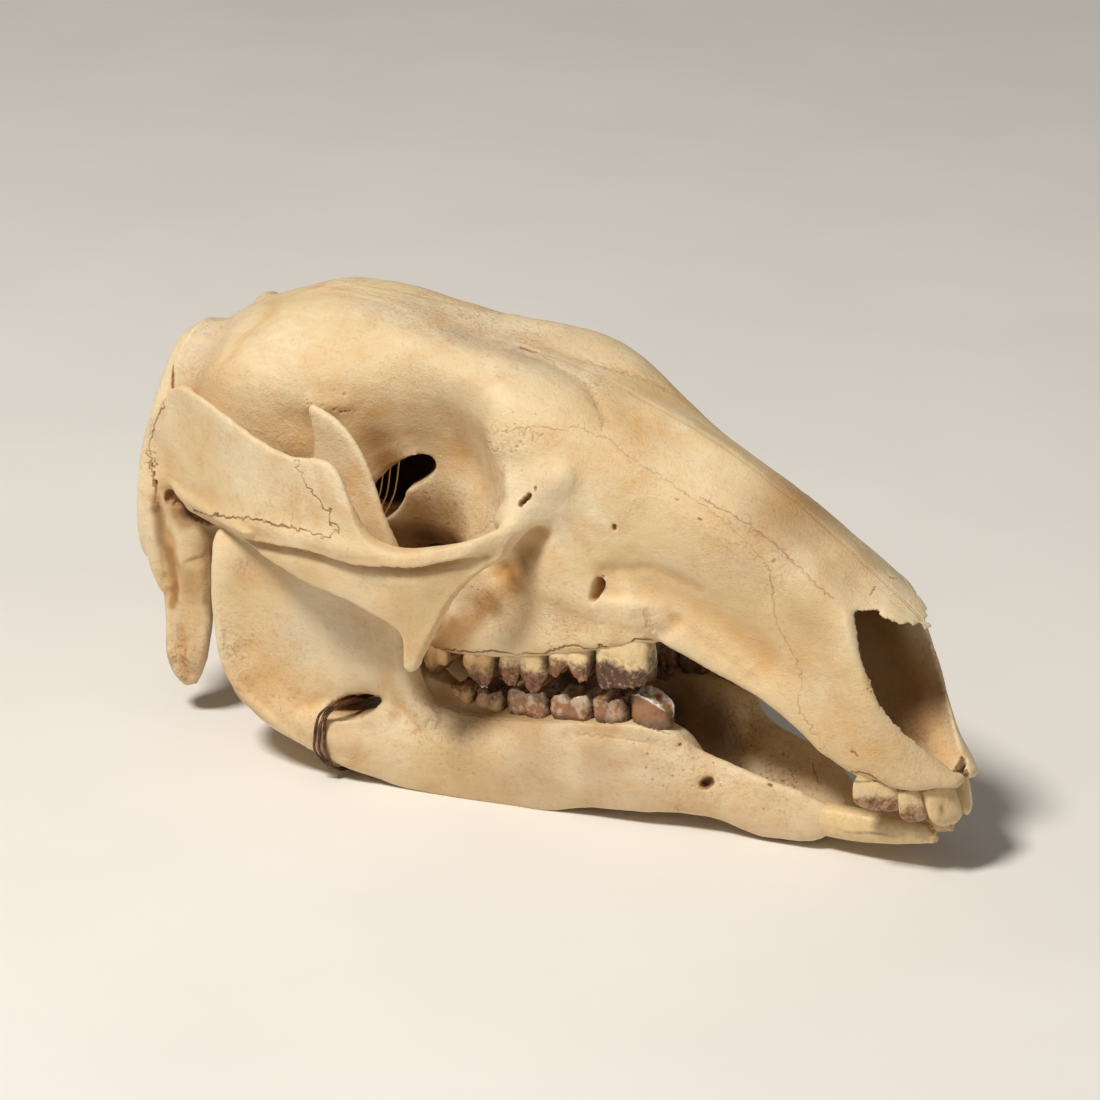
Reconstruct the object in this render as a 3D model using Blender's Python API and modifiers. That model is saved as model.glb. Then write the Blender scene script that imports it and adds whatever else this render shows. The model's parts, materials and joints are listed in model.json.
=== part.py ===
# Wallaby skull with its lower jaw, life size, as a still museum piece.
# Sizes below are millimetres. X runs from the back of the skull (0) to the snout,
# Y to the animal's left, Z up. The jaw rests on the floor at FLOOR_Z.

import math

import bmesh
import bpy
import numpy as np
from mathutils import Vector

MM = 0.001
SKULL_NAME = "wallaby_skull"
CENTRE_X = 67.4
FLOOR_Z = -2.0
PART_GAP = 0.3
ARCH_CUT_Y = 24.2
FACE_CUT_X = 48.5

FINE_VOXEL = 0.6
PLATE_VOXEL = 0.9
BLEND_STEPS = 4
CRANIUM_TRIANGLES = 7900
JAW_TRIANGLES = 1800

RING_POINTS = 40
LOFT_STEP = 2.0

# Cross sections of the skull's main body, back to front:
# x, top z, roof edge y z, upper side y z, widest y z, lower edge y z, bottom z.
BODY_SECTIONS = [
    (-5.6, 61.4, 9.0, 61.4, 14.6, 57.0, 21.8, 42.5, 20.6, 25.5, 27.0),
    (-3.4, 64.6, 8.8, 64.7, 14.7, 60.6, 21.7, 44.0, 20.4, 25.5, 27.0),
    (0.0, 66.6, 9.2, 66.0, 16.2, 59.8, 21.5, 45.0, 19.6, 27.0, 27.0),
    (3.0, 67.4, 9.8, 66.0, 18.0, 58.4, 21.4, 46.0, 18.2, 29.0, 27.0),
    (10.0, 70.1, 10.3, 68.2, 19.5, 61.0, 21.3, 47.0, 16.5, 31.0, 27.5),
    (20.0, 73.2, 10.4, 71.6, 20.2, 63.5, 21.5, 50.0, 15.5, 33.0, 29.0),
    (30.0, 73.5, 9.8, 72.2, 18.8, 64.5, 19.8, 51.0, 13.5, 35.0, 30.0),
    (38.0, 72.8, 9.4, 72.1, 15.6, 64.5, 15.8, 52.0, 10.5, 37.0, 31.0),
    (46.0, 71.3, 10.2, 72.1, 12.8, 64.0, 11.2, 52.0, 8.5, 39.0, 32.0),
    (53.0, 70.4, 11.8, 72.0, 13.0, 64.0, 10.4, 52.0, 10.5, 38.0, 31.5),
    (60.0, 69.9, 13.6, 70.9, 15.6, 63.5, 13.0, 52.0, 15.5, 36.0, 30.5),
    (67.0, 69.0, 14.4, 69.0, 18.8, 61.5, 18.2, 50.0, 17.2, 35.0, 30.5),
    (74.0, 67.7, 13.4, 66.2, 18.8, 59.0, 19.6, 48.0, 17.3, 34.0, 31.0),
    (82.0, 65.4, 11.8, 62.5, 15.9, 55.5, 16.2, 44.0, 16.6, 33.0, 31.5),
    (92.0, 62.6, 10.2, 57.7, 13.2, 51.5, 13.6, 41.0, 14.6, 32.0, 32.6),
    (102.0, 58.6, 9.6, 53.4, 11.6, 47.0, 11.2, 37.0, 11.9, 28.2, 28.9),
    (112.0, 53.6, 9.2, 48.9, 10.7, 41.5, 10.3, 33.0, 10.8, 24.6, 25.0),
    (119.0, 49.2, 9.0, 45.4, 10.5, 37.0, 10.5, 28.5, 10.2, 20.6, 21.0),
    (124.0, 45.8, 9.0, 42.6, 10.5, 35.0, 10.7, 26.0, 10.0, 16.8, 17.2),
    (126.4, 41.6, 9.2, 41.2, 10.7, 35.6, 10.8, 25.6, 9.8, 15.7, 16.0),
    (129.0, 35.6, 9.4, 35.4, 10.8, 31.0, 10.9, 24.0, 9.6, 15.0, 15.2),
    (131.5, 29.9, 9.0, 29.6, 10.4, 27.0, 10.5, 22.0, 9.3, 14.4, 14.6),
    (134.6, 24.8, 7.2, 24.6, 8.6, 22.8, 9.4, 19.0, 8.4, 13.8, 14.0),
    (138.1, 20.4, 5.1, 20.0, 6.5, 18.9, 7.6, 16.6, 7.0, 13.3, 13.6),
    (141.3, 16.9, 3.4, 16.5, 4.6, 15.8, 5.3, 14.8, 4.9, 12.8, 13.0),
    (143.4, 14.5, 2.1, 14.3, 3.0, 14.0, 3.4, 13.6, 3.1, 12.5, 12.7),
]

# Nasal bones, a thin roof over the nose: x, top z, half width, edge drop, thickness.
NASAL_SECTIONS = [
    (98.0, 60.1, 8.0, 3.6, 4.0),
    (110.0, 54.8, 7.9, 3.6, 3.2),
    (118.0, 50.2, 8.2, 3.7, 2.4),
    (124.0, 46.4, 8.1, 3.5, 1.7),
    (128.0, 43.9, 6.5, 2.4, 1.4),
    (131.8, 41.5, 4.9, 1.0, 1.2),
    (134.2, 39.6, 3.1, 0.7, 1.1),
    (135.7, 38.2, 1.4, 0.4, 0.9),
]

# Hollow of the nose: x, top z, half width, bottom z.
NOSE_SECTIONS = [
    (103.0, 50.0, 3.0, 40.0),
    (110.0, 51.2, 6.8, 35.0),
    (118.0, 47.4, 8.7, 29.0),
    (124.0, 44.5, 9.2, 22.6),
    (128.0, 42.4, 9.4, 19.4),
    (132.0, 40.4, 8.8, 17.4),
    (136.0, 38.0, 6.4, 16.0),
    (140.0, 36.0, 3.4, 15.0),
    (144.0, 34.0, 1.6, 14.4),
]

# Half width of the cheek arches along the skull, and the arch's outline seen from the side.
ARCH_WIDTH = [(-6, 20.5), (0, 21.5), (10, 25.5), (20, 30), (30, 34), (40, 36.3), (50, 36.8),
              (60, 34.8), (66, 31.2), (72, 25.5), (77, 19.5), (82, 15.0)]
ARCH_OUTLINE = [
    (-3.5, 50.0), (2.3, 58.1), (9.5, 59.4), (18.4, 58.8), (28.0, 57.9), (37.0, 57.3), (43.5, 58.4),
    (47.0, 57.2), (49.6, 52.5), (52.0, 47.2), (56.9, 45.7), (63.0, 46.0), (68.4, 47.6), (72.0, 50.6),
    (77.0, 52.5), (79.0, 48.5), (76.0, 45.0), (70.5, 43.0), (66.7, 38.0), (63.6, 33.2), (61.4, 27.4),
    (59.6, 24.2), (57.4, 25.8), (55.8, 31.6), (48.7, 34.4), (39.4, 35.6), (27.8, 37.4), (15.0, 37.4),
    (4.0, 37.0), (-3.5, 40.0),
]
ARCH_HALF = 1.25
ARCH_RIDGE = [(6.0, 38.5), (20.0, 41.5), (33.0, 44.0), (46.0, 44.3), (58.0, 44.2), (66.0, 45.4), (76.0, 50.0)]
ARCH_RIDGE_HALF = 1.0
ARCH_LOWER_INSET = 2.2

# Rounded pieces of the skull's base: x, y, z of the centre and the three half sizes.
# Those at the sides are the ear bulla, the neck joint and the bone above the mastoid, and are mirrored.
MIDLINE_LUMPS = [
    (26.0, 0.0, 31.5, 24.0, 7.0, 4.0),
]
SIDE_LUMPS = [
    (13.0, -12.5, 29.5, 9.5, 6.0, 7.0),
    (-4.8, -7.2, 32.0, 4.4, 4.2, 6.0),
    (4.0, -17.5, 36.0, 5.0, 4.0, 9.0),
]
# Shelf that joins the arch to the braincase over the jaw joint: x, bottom z, top z.
SHELF = [(-2.0, 37.6, 43.0), (6.0, 37.8, 42.0), (16.0, 38.6, 42.4), (24.0, 39.6, 43.0), (28.0, 40.6, 42.6)]
SHELF_INNER_Y = 15.0
OCCIPUT_HOLLOW = (-12.5, 0.0, 43.0, 9.4, 19.2, 17.5)
INION_FORWARD = 4.2
INION_HALF = 7.5

# Edge of the mastoid behind the ear, and the process beside it: x, y, z, radius.
MASTOID_PATH = [
    (-4.2, -20.8, 40.0, 1.5), (-3.6, -21.2, 32.0, 1.5), (-2.8, -21.0, 25.0, 1.3), (-1.6, -20.4, 20.4, 0.9),
]
PAROCCIPITAL_PATH = [
    (1.6, -18.6, 34.0, 5.4), (1.8, -18.8, 24.0, 4.9), (1.9, -19.0, 15.0, 4.5), (1.4, -19.0, 8.0, 3.7),
    (1.2, -19.0, 3.6, 1.8),
]
PAROCCIPITAL_FLAT = 0.55
PTERYGOID_PATH = [
    (52.0, -10.5, 31.0, 2.6), (45.0, -8.5, 30.0, 1.8), (39.0, -7.5, 28.5, 1.5), (33.0, -7.4, 26.5, 1.0),
]

# Bone that holds the upper cheek teeth: x, centre y, half width, top z, bottom z.
TOOTH_BONE = [
    (49.0, 15.8, 1.8, 33.0, 22.0), (54.0, 15.6, 3.0, 36.0, 21.2), (64.0, 14.9, 3.4, 38.0, 22.4),
    (74.0, 14.3, 3.6, 38.0, 24.7), (84.0, 13.4, 3.7, 38.0, 27.6), (92.0, 12.3, 3.2, 38.0, 29.8),
    (96.5, 11.4, 2.2, 37.0, 31.4),
]

# Outer side of the two rows of cheek teeth: x, y.
UPPER_ROW = [(50.0, 18.5), (58.0, 18.3), (66.0, 18.0), (75.0, 17.6), (84.0, 16.8), (94.5, 15.4)]
LOWER_ROW = [(54.0, 17.0), (60.0, 16.8), (68.0, 16.4), (76.0, 15.9), (84.0, 15.2), (96.0, 13.4)]
# Upper cheek teeth of one side, back to front: rear x, front x, width, gum z, tip z, lobes.
# A tooth of two lobes has two cross ridges, and one of a single lobe is a blade.
UPPER_TEETH = [
    (50.4, 57.0, 6.2, 22.0, 16.3, 2),
    (57.3, 65.3, 6.8, 23.0, 16.7, 2),
    (65.6, 74.4, 6.9, 24.8, 18.8, 2),
    (74.7, 83.7, 6.6, 27.4, 21.4, 2),
    (84.0, 94.0, 4.8, 30.2, 22.9, 1),
]
# Lower cheek teeth, which bite inside the upper ones.
LOWER_TEETH = [
    (54.4, 59.6, 5.6, 12.6, 15.6, 2),
    (59.9, 66.0, 6.0, 12.8, 16.2, 2),
    (66.3, 73.8, 6.1, 13.6, 18.2, 2),
    (74.1, 81.2, 6.0, 14.6, 18.8, 2),
    (81.5, 88.3, 5.2, 15.6, 20.4, 2),
    (88.2, 95.4, 4.4, 15.8, 21.4, 1),
]
TOOTH_ROOT = 3.0
LOBE_SHARES = [(0.0, 1.14, 1.0), (0.62, 1.1, 0.94), (0.86, 0.72, 0.8), (1.0, 0.34, 0.66)]
BLADE_SHARES = [(0.0, 0.9, 1.0), (0.5, 1.02, 0.94), (0.84, 0.98, 0.7), (1.0, 0.86, 0.4)]

# Upper front teeth of one side: root x y z, tip x y z, root width and depth, tip width and depth,
# and how far the tooth faces round from the side to the front, in degrees.
UPPER_INCISORS = [
    (140.1, -3.2, 15.6, 142.5, -3.0, 7.2, 6.0, 3.6, 5.8, 2.0, 56.0),
    (135.6, -6.5, 15.0, 137.3, -6.1, 8.8, 4.6, 3.4, 4.4, 1.9, 40.0),
    (129.8, -8.7, 16.4, 131.2, -8.6, 9.6, 8.0, 3.4, 8.4, 1.7, 20.0),
]
LOWER_INCISOR = [
    (112.0, -4.2, 3.6, 2.3), (119.0, -3.9, 3.3, 2.6), (126.0, -3.5, 3.2, 2.6),
    (132.0, -3.1, 3.4, 2.3), (136.8, -2.8, 3.6, 1.8), (138.2, -2.7, 3.4, 0.9),
]
LOWER_INCISOR_FLAT = 0.82

# Body of the lower jaw: x, outer y, ridge y, inner y, ridge z, inner z, bottom z.
JAW_SECTIONS = [
    (33.0, 29.6, 26.0, 21.0, 10.5, 9.6, 3.2),
    (40.0, 28.4, 24.4, 17.0, 13.2, 13.0, 0.2),
    (46.0, 26.9, 22.6, 13.2, 14.0, 15.3, -1.4),
    (50.0, 25.8, 21.6, 12.0, 13.9, 15.3, -2.4),
    (54.0, 24.6, 20.4, 11.8, 13.6, 14.2, -2.8),
    (60.0, 22.8, 18.6, 12.4, 13.4, 13.4, -3.0),
    (72.0, 19.6, 15.4, 10.8, 14.2, 14.0, -2.8),
    (82.0, 17.2, 13.4, 9.2, 15.4, 15.0, -0.4),
    (91.0, 14.9, 11.2, 6.9, 16.2, 15.6, 0.3),
    (95.6, 13.4, 10.2, 5.4, 15.2, 13.4, 0.8),
    (98.6, 12.4, 9.3, 4.0, 12.0, 9.2, 0.8),
    (103.0, 10.8, 8.1, 1.6, 10.2, 6.4, 0.2),
    (110.0, 9.2, 7.6, 0.3, 8.8, 5.2, -0.8),
    (115.0, 7.9, 6.4, 0.2, 7.8, 5.0, -2.1),
    (120.0, 6.6, 5.2, 0.2, 6.6, 4.6, -2.3),
    (123.5, 5.3, 4.0, 0.6, 5.4, 4.0, 0.0),
]
SYMPHYSIS_GAP = 0.15
# Rising branch of the jaw, outline from the side.
RAMUS_OUTLINE = [
    (57.0, 3.0), (56.5, 11.0), (53.0, 14.5), (51.0, 22.0), (50.2, 32.0), (49.9, 41.3), (47.8, 48.1),
    (45.6, 53.9), (42.6, 58.0), (38.3, 61.0), (32.6, 61.4), (33.6, 57.4), (33.2, 52.0), (30.6, 45.0),
    (27.0, 40.0), (21.5, 36.6), (17.0, 35.6), (16.5, 27.0), (17.8, 17.0), (22.2, 9.8), (31.6, 4.0),
    (41.0, 0.6), (48.0, 0.2),
]
RAMUS_OUTER = [(12, 31.4), (20, 31.3), (30, 30.2), (40, 28.2), (50, 25.6), (60, 22.6)]
CORONOID_Y = 25.0
RIM_HALF = 2.9
FOSSA_HALF = 1.2
FOSSA_DEPTH = 2.4
CONDYLE = (19.8, -24.6, 34.6, 3.2, 6.0, 2.2)
# Shelf that the angle of the jaw turns inwards: x, outer y, inner y, middle z, thickness.
ANGLE_SECTIONS = [
    (15.2, 25.4, 20.6, 12.8, 1.0), (17.4, 28.0, 17.6, 11.6, 2.0), (21.0, 29.6, 14.6, 9.6, 3.0),
    (27.0, 29.6, 12.6, 7.0, 3.4), (34.0, 28.8, 13.0, 4.8, 3.4), (41.0, 27.6, 15.0, 3.6, 3.2),
    (48.0, 25.6, 17.0, 2.6, 3.0),
]
MASSETERIC_HOLE = (41.0, -24.0, 10.9, 4.6, 14.0, 2.3)

# Copper wire tied through the hole in the jaw and round its lower edge.
WIRE_RADIUS = 0.75
WIRE_LOOP = [
    (39.6, -30.6, 10.4), (38.4, -31.8, 7.6), (38.4, -31.6, 3.2), (39.0, -29.4, -0.3), (39.6, -25.0, -0.85),
    (39.8, -18.0, -0.85), (40.0, -13.6, 0.1), (40.6, -12.0, 4.0), (41.0, -12.2, 9.0), (41.2, -15.6, 11.2),
    (41.2, -20.0, 11.2), (41.0, -25.0, 11.2), (40.6, -29.0, 11.2),
]

# Openings cut into the skull: centre x y z, three half sizes, turn about Y in degrees.
ORBIT_FISSURE = (41.0, -12.0, 46.0, 7.0, 5.4, 2.9, -42.0)
FORAMEN_MAGNUM = (-6.0, 0.0, 36.5, 9.0, 6.2, 5.4, 0.0)
INFRAORBITAL = (83.3, -16.2, 38.6, 1.1, 3.4, 2.4, 12.0)
CHOANA = (44.0, 0.0, 31.0, 9.0, 5.0, 4.5, 0.0)

BONE_COLOUR = (0.78, 0.64, 0.43, 1.0)
WIRE_COLOUR = (0.16, 0.08, 0.04, 1.0)


def clear_scene():
    for item in list(bpy.data.objects):
        bpy.data.objects.remove(item, do_unlink=True)


def new_collection(name):
    group = bpy.data.collections.new(name)
    bpy.context.scene.collection.children.link(group)
    return group


def make_material(name, colour, roughness, metallic):
    material = bpy.data.materials.new(name)
    material.use_nodes = True
    shader = material.node_tree.nodes["Principled BSDF"]
    shader.inputs["Base Color"].default_value = colour
    shader.inputs["Roughness"].default_value = roughness
    shader.inputs["Metallic"].default_value = metallic
    return material


def column(rows, index, at):
    """Smooth values of one column of a table of stations, without overshoot."""
    xs = np.array([row[0] for row in rows], float)
    ys = np.array([row[index] for row in rows], float)
    step = np.diff(xs)
    rise = np.diff(ys) / step
    slope = np.zeros(len(xs))
    same = rise[:-1] * rise[1:] > 0
    mean = 2 * rise[:-1] * rise[1:] / np.where(same, rise[:-1] + rise[1:], 1.0)
    slope[1:-1] = np.where(same, mean, 0.0)
    slope[0] = rise[0]
    slope[-1] = rise[-1]
    at = np.clip(np.asarray(at, float), xs[0], xs[-1])
    i = np.clip(np.searchsorted(xs, at, side="right") - 1, 0, len(xs) - 2)
    t = (at - xs[i]) / step[i]
    h = step[i]
    return (ys[i] * (1 + 2 * t) * (1 - t) ** 2 + slope[i] * h * t * (1 - t) ** 2
            + ys[i + 1] * t * t * (3 - 2 * t) + slope[i + 1] * h * t * t * (t - 1))


def spline(points, count, closed):
    """Catmull-Rom curve through the points, read at evenly spread values."""
    pts = np.array(points, float)
    n = len(pts)
    spans = n if closed else n - 1
    out = []
    for k in range(count):
        u = k * spans / count if closed else k * spans / (count - 1)
        i = min(int(u), spans - 1)
        t = u - i
        if closed:
            a, b, c, d = (pts[(i + j) % n] for j in (-1, 0, 1, 2))
        else:
            a, b, c, d = pts[max(i - 1, 0)], pts[i], pts[i + 1], pts[min(i + 2, n - 1)]
        out.append(0.5 * (2 * b + (c - a) * t + (2 * a - 5 * b + 4 * c - d) * t * t
                          + (3 * b - a - 3 * c + d) * t ** 3))
    return np.array(out)


def add_mesh(name, points, faces, group):
    mesh = bpy.data.meshes.new(name)
    mesh.from_pydata([tuple(p) for p in np.asarray(points) * MM], [], faces)
    body = bmesh.new()
    body.from_mesh(mesh)
    bmesh.ops.remove_doubles(body, verts=body.verts, dist=1e-7)
    bmesh.ops.recalc_face_normals(body, faces=body.faces)
    body.to_mesh(mesh)
    body.free()
    item = bpy.data.objects.new(name, mesh)
    group.objects.link(item)
    return item


def loft(name, rings, group):
    """Closed body through rings that all have the same number of points."""
    count = len(rings[0])
    points = np.concatenate(rings)
    faces = []
    for row in range(len(rings) - 1):
        for k in range(count):
            a = row * count + k
            b = row * count + (k + 1) % count
            faces.append((a, b, b + count, a + count))
    faces.append(tuple(range(count)))
    last = (len(rings) - 1) * count
    faces.append(tuple(last + k for k in reversed(range(count))))
    return add_mesh(name, points, faces, group)


def steps(rows, step):
    first = rows[0][0]
    last = rows[-1][0]
    return np.linspace(first, last, int((last - first) / step) + 2)


def skull_body(group):
    rings = []
    for x in steps(BODY_SECTIONS, LOFT_STEP):
        values = [float(column(BODY_SECTIONS, i, x)) for i in range(1, 11)]
        top, roof_y, roof_z, upper_y, upper_z, mid_y, mid_z, base_y, base_z, bottom = values
        right = [(-roof_y, roof_z), (-upper_y, upper_z), (-mid_y, mid_z), (-base_y, base_z)]
        left = [(-y, z) for y, z in reversed(right)]
        outline = spline([(0, top)] + right + [(0, bottom)] + left, RING_POINTS, True)
        rings.append(np.column_stack([np.full(len(outline), x), outline]))
    item = loft("body", rings, group)

    def rule(p):
        rear = np.clip((4.0 - p[:, 0]) / 9.0, 0, 1)
        high = np.clip((p[:, 2] - 46.0) / 14.0, 0, 1)
        out = p.copy()
        out[:, 0] += INION_FORWARD * rear * high * np.exp(-(p[:, 1] / INION_HALF) ** 2)
        return out

    bend(item, rule)
    return item


def nasal_roof(group):
    rings = []
    for x in steps(NASAL_SECTIONS, LOFT_STEP):
        top, half, drop, thick = [float(column(NASAL_SECTIONS, i, x)) for i in range(1, 5)]
        side = np.linspace(-1, 1, 13)
        upper = [(half * s, top - drop * abs(s) ** 2.2) for s in side]
        lower = [(half * s * 0.97, top - thick - drop * abs(s) ** 2.2) for s in reversed(side)]
        outline = np.array(upper + lower)
        rings.append(np.column_stack([np.full(len(outline), x), outline]))
    return loft("nasals", rings, group)


def nose_hollow(group):
    rings = []
    for x in steps(NOSE_SECTIONS, LOFT_STEP):
        top, half, bottom = [float(column(NOSE_SECTIONS, i, x)) for i in range(1, 4)]
        middle = 0.5 * (top + bottom)
        tall = 0.5 * (top - bottom)
        angles = np.linspace(0, 2 * math.pi, 24, endpoint=False)
        power = 0.6
        ys = half * np.sign(np.cos(angles)) * np.abs(np.cos(angles)) ** power
        zs = middle + tall * np.sign(np.sin(angles)) * np.abs(np.sin(angles)) ** power
        rings.append(np.column_stack([np.full(len(ys), x), ys, zs]))
    return loft("nose_hollow", rings, group)


def tube(name, path, group, flat=1.0, sides=14, count=None):
    """Tapering rod through points (x, y, z, radius); flat scales it along Y."""
    nodes = spline(path, count or 5 * len(path), False)
    rings = []
    for i, row in enumerate(nodes):
        ahead = nodes[min(i + 1, len(nodes) - 1)][:3] - nodes[max(i - 1, 0)][:3]
        ahead /= np.linalg.norm(ahead)
        side = np.cross(ahead, (0.0, 1.0, 0.0))
        if np.linalg.norm(side) < 0.3:
            side = np.cross(ahead, (0.0, 0.0, 1.0))
        side /= np.linalg.norm(side)
        other = np.cross(ahead, side)
        angles = np.linspace(0, 2 * math.pi, sides, endpoint=False)
        ring = row[:3] + row[3] * (np.outer(np.cos(angles), side) + flat * np.outer(np.sin(angles), other))
        rings.append(ring)
    return loft(name, rings, group)


def lump(name, values, group, turn=0.0):
    x, y, z, half_x, half_y, half_z = values[:6]
    bpy.ops.mesh.primitive_uv_sphere_add(segments=28, ring_count=16, radius=MM,
                                         location=(x * MM, y * MM, z * MM))
    item = bpy.context.object
    item.name = name
    item.scale = (half_x, half_y, half_z)
    item.rotation_euler = (0.0, math.radians(turn), 0.0)
    bpy.ops.object.transform_apply(location=True, rotation=True, scale=True)
    for owner in list(item.users_collection):
        owner.objects.unlink(item)
    group.objects.link(item)
    return item


def apply_modifiers(item):
    graph = bpy.context.evaluated_depsgraph_get()
    mesh = bpy.data.meshes.new_from_object(item.evaluated_get(graph), depsgraph=graph)
    old = item.data
    item.modifiers.clear()
    item.data = mesh
    bpy.data.meshes.remove(old)


def remesh(item, voxel, smooth_steps):
    grid = item.modifiers.new("grid", "REMESH")
    grid.mode = "VOXEL"
    grid.voxel_size = voxel * MM
    if smooth_steps:
        soft = item.modifiers.new("soft", "SMOOTH")
        soft.factor = 0.5
        soft.iterations = smooth_steps
    apply_modifiers(item)


def bend(item, rule):
    """Move each point of a mesh by a rule on its x, y and z in millimetres."""
    mesh = item.data
    flat = np.empty(len(mesh.vertices) * 3)
    mesh.vertices.foreach_get("co", flat)
    points = flat.reshape(-1, 3) / MM
    mesh.vertices.foreach_set("co", (rule(points) * MM).ravel())
    mesh.update()


def plate(name, outline, half, group):
    """Flat plate in the XZ plane with a smooth outline, as an even mesh that can be bent."""
    curve = bpy.data.curves.new(name, "CURVE")
    curve.dimensions = "2D"
    curve.fill_mode = "BOTH"
    curve.extrude = half * MM
    line = curve.splines.new("POLY")
    points = spline(outline, 6 * len(outline), True)
    line.points.add(len(points) - 1)
    for target, (x, z) in zip(line.points, points):
        target.co = (x * MM, z * MM, 0.0, 1.0)
    line.use_cyclic_u = True
    flat = bpy.data.objects.new(name + "_flat", curve)
    group.objects.link(flat)
    graph = bpy.context.evaluated_depsgraph_get()
    mesh = bpy.data.meshes.new_from_object(flat.evaluated_get(graph), depsgraph=graph)
    bpy.data.objects.remove(flat, do_unlink=True)
    body = bmesh.new()
    body.from_mesh(mesh)
    bmesh.ops.remove_doubles(body, verts=body.verts, dist=1e-6)
    for vert in body.verts:
        vert.co = Vector((vert.co.x, -vert.co.z, vert.co.y))
    bmesh.ops.recalc_face_normals(body, faces=body.faces)
    body.to_mesh(mesh)
    body.free()
    item = bpy.data.objects.new(name, mesh)
    group.objects.link(item)
    remesh(item, PLATE_VOXEL, 2)
    return item


def near_line(points, path):
    """Distance in the XZ plane from each point to a line of (x, z) points."""
    best = np.full(len(points), 1e9)
    flat = points[:, [0, 2]]
    for a, b in zip(path[:-1], path[1:]):
        a = np.array(a, float)
        b = np.array(b, float)
        t = np.clip(((flat - a) @ (b - a)) / ((b - a) @ (b - a)), 0, 1)
        best = np.minimum(best, np.linalg.norm(flat - a - t[:, None] * (b - a), axis=1))
    return best


def cheek_arch(group):
    start_half = 2.0
    item = plate("arch", ARCH_OUTLINE, start_half, group)

    def rule(p):
        middle = -column(ARCH_WIDTH, 1, p[:, 0])
        ridge = np.exp(-(near_line(p, ARCH_RIDGE) / 1.6) ** 2)
        lower = np.clip((42.0 - p[:, 2]) / 12.0, 0, 1)
        half = ARCH_HALF + ARCH_RIDGE_HALF * ridge
        out = p.copy()
        out[:, 1] = middle + half + ARCH_LOWER_INSET * lower + p[:, 1] / start_half * half
        out[:, 1] -= 0.8 * ridge
        return out

    bend(item, rule)
    return item


def shelf(group):
    """Bone over the jaw joint, from the braincase out to the arch."""
    rings = []
    for x in steps(SHELF, LOFT_STEP):
        bottom, top = [float(column(SHELF, i, x)) for i in (1, 2)]
        outer = float(column(ARCH_WIDTH, 1, x)) - 0.4
        outline = spline([(-SHELF_INNER_Y, bottom), (-SHELF_INNER_Y, top), (-outer, top - 0.6),
                          (-outer, bottom + 0.6)], 16, True)
        rings.append(np.column_stack([np.full(len(outline), x), outline]))
    return loft("shelf", rings, group)


def tooth_bone(group):
    rings = []
    for x in steps(TOOTH_BONE, LOFT_STEP):
        y, half, top, bottom = [float(column(TOOTH_BONE, i, x)) for i in range(1, 5)]
        outline = spline([(-y - half, bottom + 1.2), (-y, bottom), (-y + half, bottom + 1.2),
                          (-y + half, 0.5 * (top + bottom)), (-y + half, top), (-y - half, top),
                          (-y - half, 0.5 * (top + bottom))], 28, True)
        rings.append(np.column_stack([np.full(len(outline), x), outline]))
    return loft("tooth_bone", rings, group)


def mirrored(item, group):
    copy = bpy.data.objects.new(item.name + "_left", item.data.copy())
    group.objects.link(copy)
    body = bmesh.new()
    body.from_mesh(copy.data)
    for vert in body.verts:
        vert.co.y = -vert.co.y
    bmesh.ops.reverse_faces(body, faces=body.faces)
    body.to_mesh(copy.data)
    body.free()
    return copy


def keep_largest(item):
    """Leave only the largest closed surface of a mesh."""
    body = bmesh.new()
    body.from_mesh(item.data)
    left = set(body.verts)
    islands = []
    while left:
        seed = left.pop()
        island = {seed}
        edge = [seed]
        while edge:
            vert = edge.pop()
            for link in vert.link_edges:
                other = link.other_vert(vert)
                if other in left:
                    left.discard(other)
                    island.add(other)
                    edge.append(other)
        islands.append(island)
    islands.sort(key=len, reverse=True)
    for island in islands[1:]:
        bmesh.ops.delete(body, geom=list(island), context="VERTS")
    body.to_mesh(item.data)
    body.free()


def combine(base, group, operation, solver="MANIFOLD"):
    """One Boolean of the base with every object of a collection, which is then emptied."""
    step = base.modifiers.new(operation.lower(), "BOOLEAN")
    step.operation = operation
    step.operand_type = "COLLECTION"
    step.collection = group
    step.solver = solver
    apply_modifiers(base)
    for item in list(group.objects):
        bpy.data.objects.remove(item, do_unlink=True)


def simplify(item, triangles, symmetric):
    count = sum(len(face.vertices) - 2 for face in item.data.polygons)
    less = item.modifiers.new("less", "DECIMATE")
    less.ratio = triangles / count
    less.use_collapse_triangulate = True
    if symmetric:
        less.use_symmetry = True
        less.symmetry_axis = "Y"
    apply_modifiers(item)


def tooth_lobe(name, root, tip, wide, length, shares, group):
    """One lobe of a cheek tooth, a block along X that narrows to a cutting ridge."""
    rings = []
    for share, long_share, wide_share in shares:
        centre = np.array(root) + (np.array(tip) - np.array(root)) * share
        half_x = length * long_share / 2
        half_y = wide * wide_share / 2
        corner = 0.3 * min(half_x, half_y) * 2
        outline = []
        for sx, sy in ((1, 1), (-1, 1), (-1, -1), (1, -1)):
            first = (sx * half_x, sy * (half_y - corner / 2))
            second = (sx * (half_x - corner / 2), sy * half_y)
            outline += [first, second] if sx * sy > 0 else [second, first]
        rings.append(np.array([(centre[0] + x, centre[1] + y, centre[2]) for x, y in outline]))
    return loft(name, rings, group)


def cheek_teeth(table, row, root, group):
    """A row of cheek teeth, each of one or two lobes; the roots go up or down into the bone."""
    for number, (rear, front, wide, gum, tip, lobes) in enumerate(table):
        length = (front - rear) / lobes
        shares = BLADE_SHARES if lobes == 1 else LOBE_SHARES
        for lobe in range(lobes):
            x = rear + length * (lobe + 0.5)
            y = wide / 2 - float(column(row, 1, x))
            name = f"tooth_{number}_{lobe}"
            tooth_lobe(name, (x, y, gum + root), (x, y, tip), wide, length, shares, group)


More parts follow.
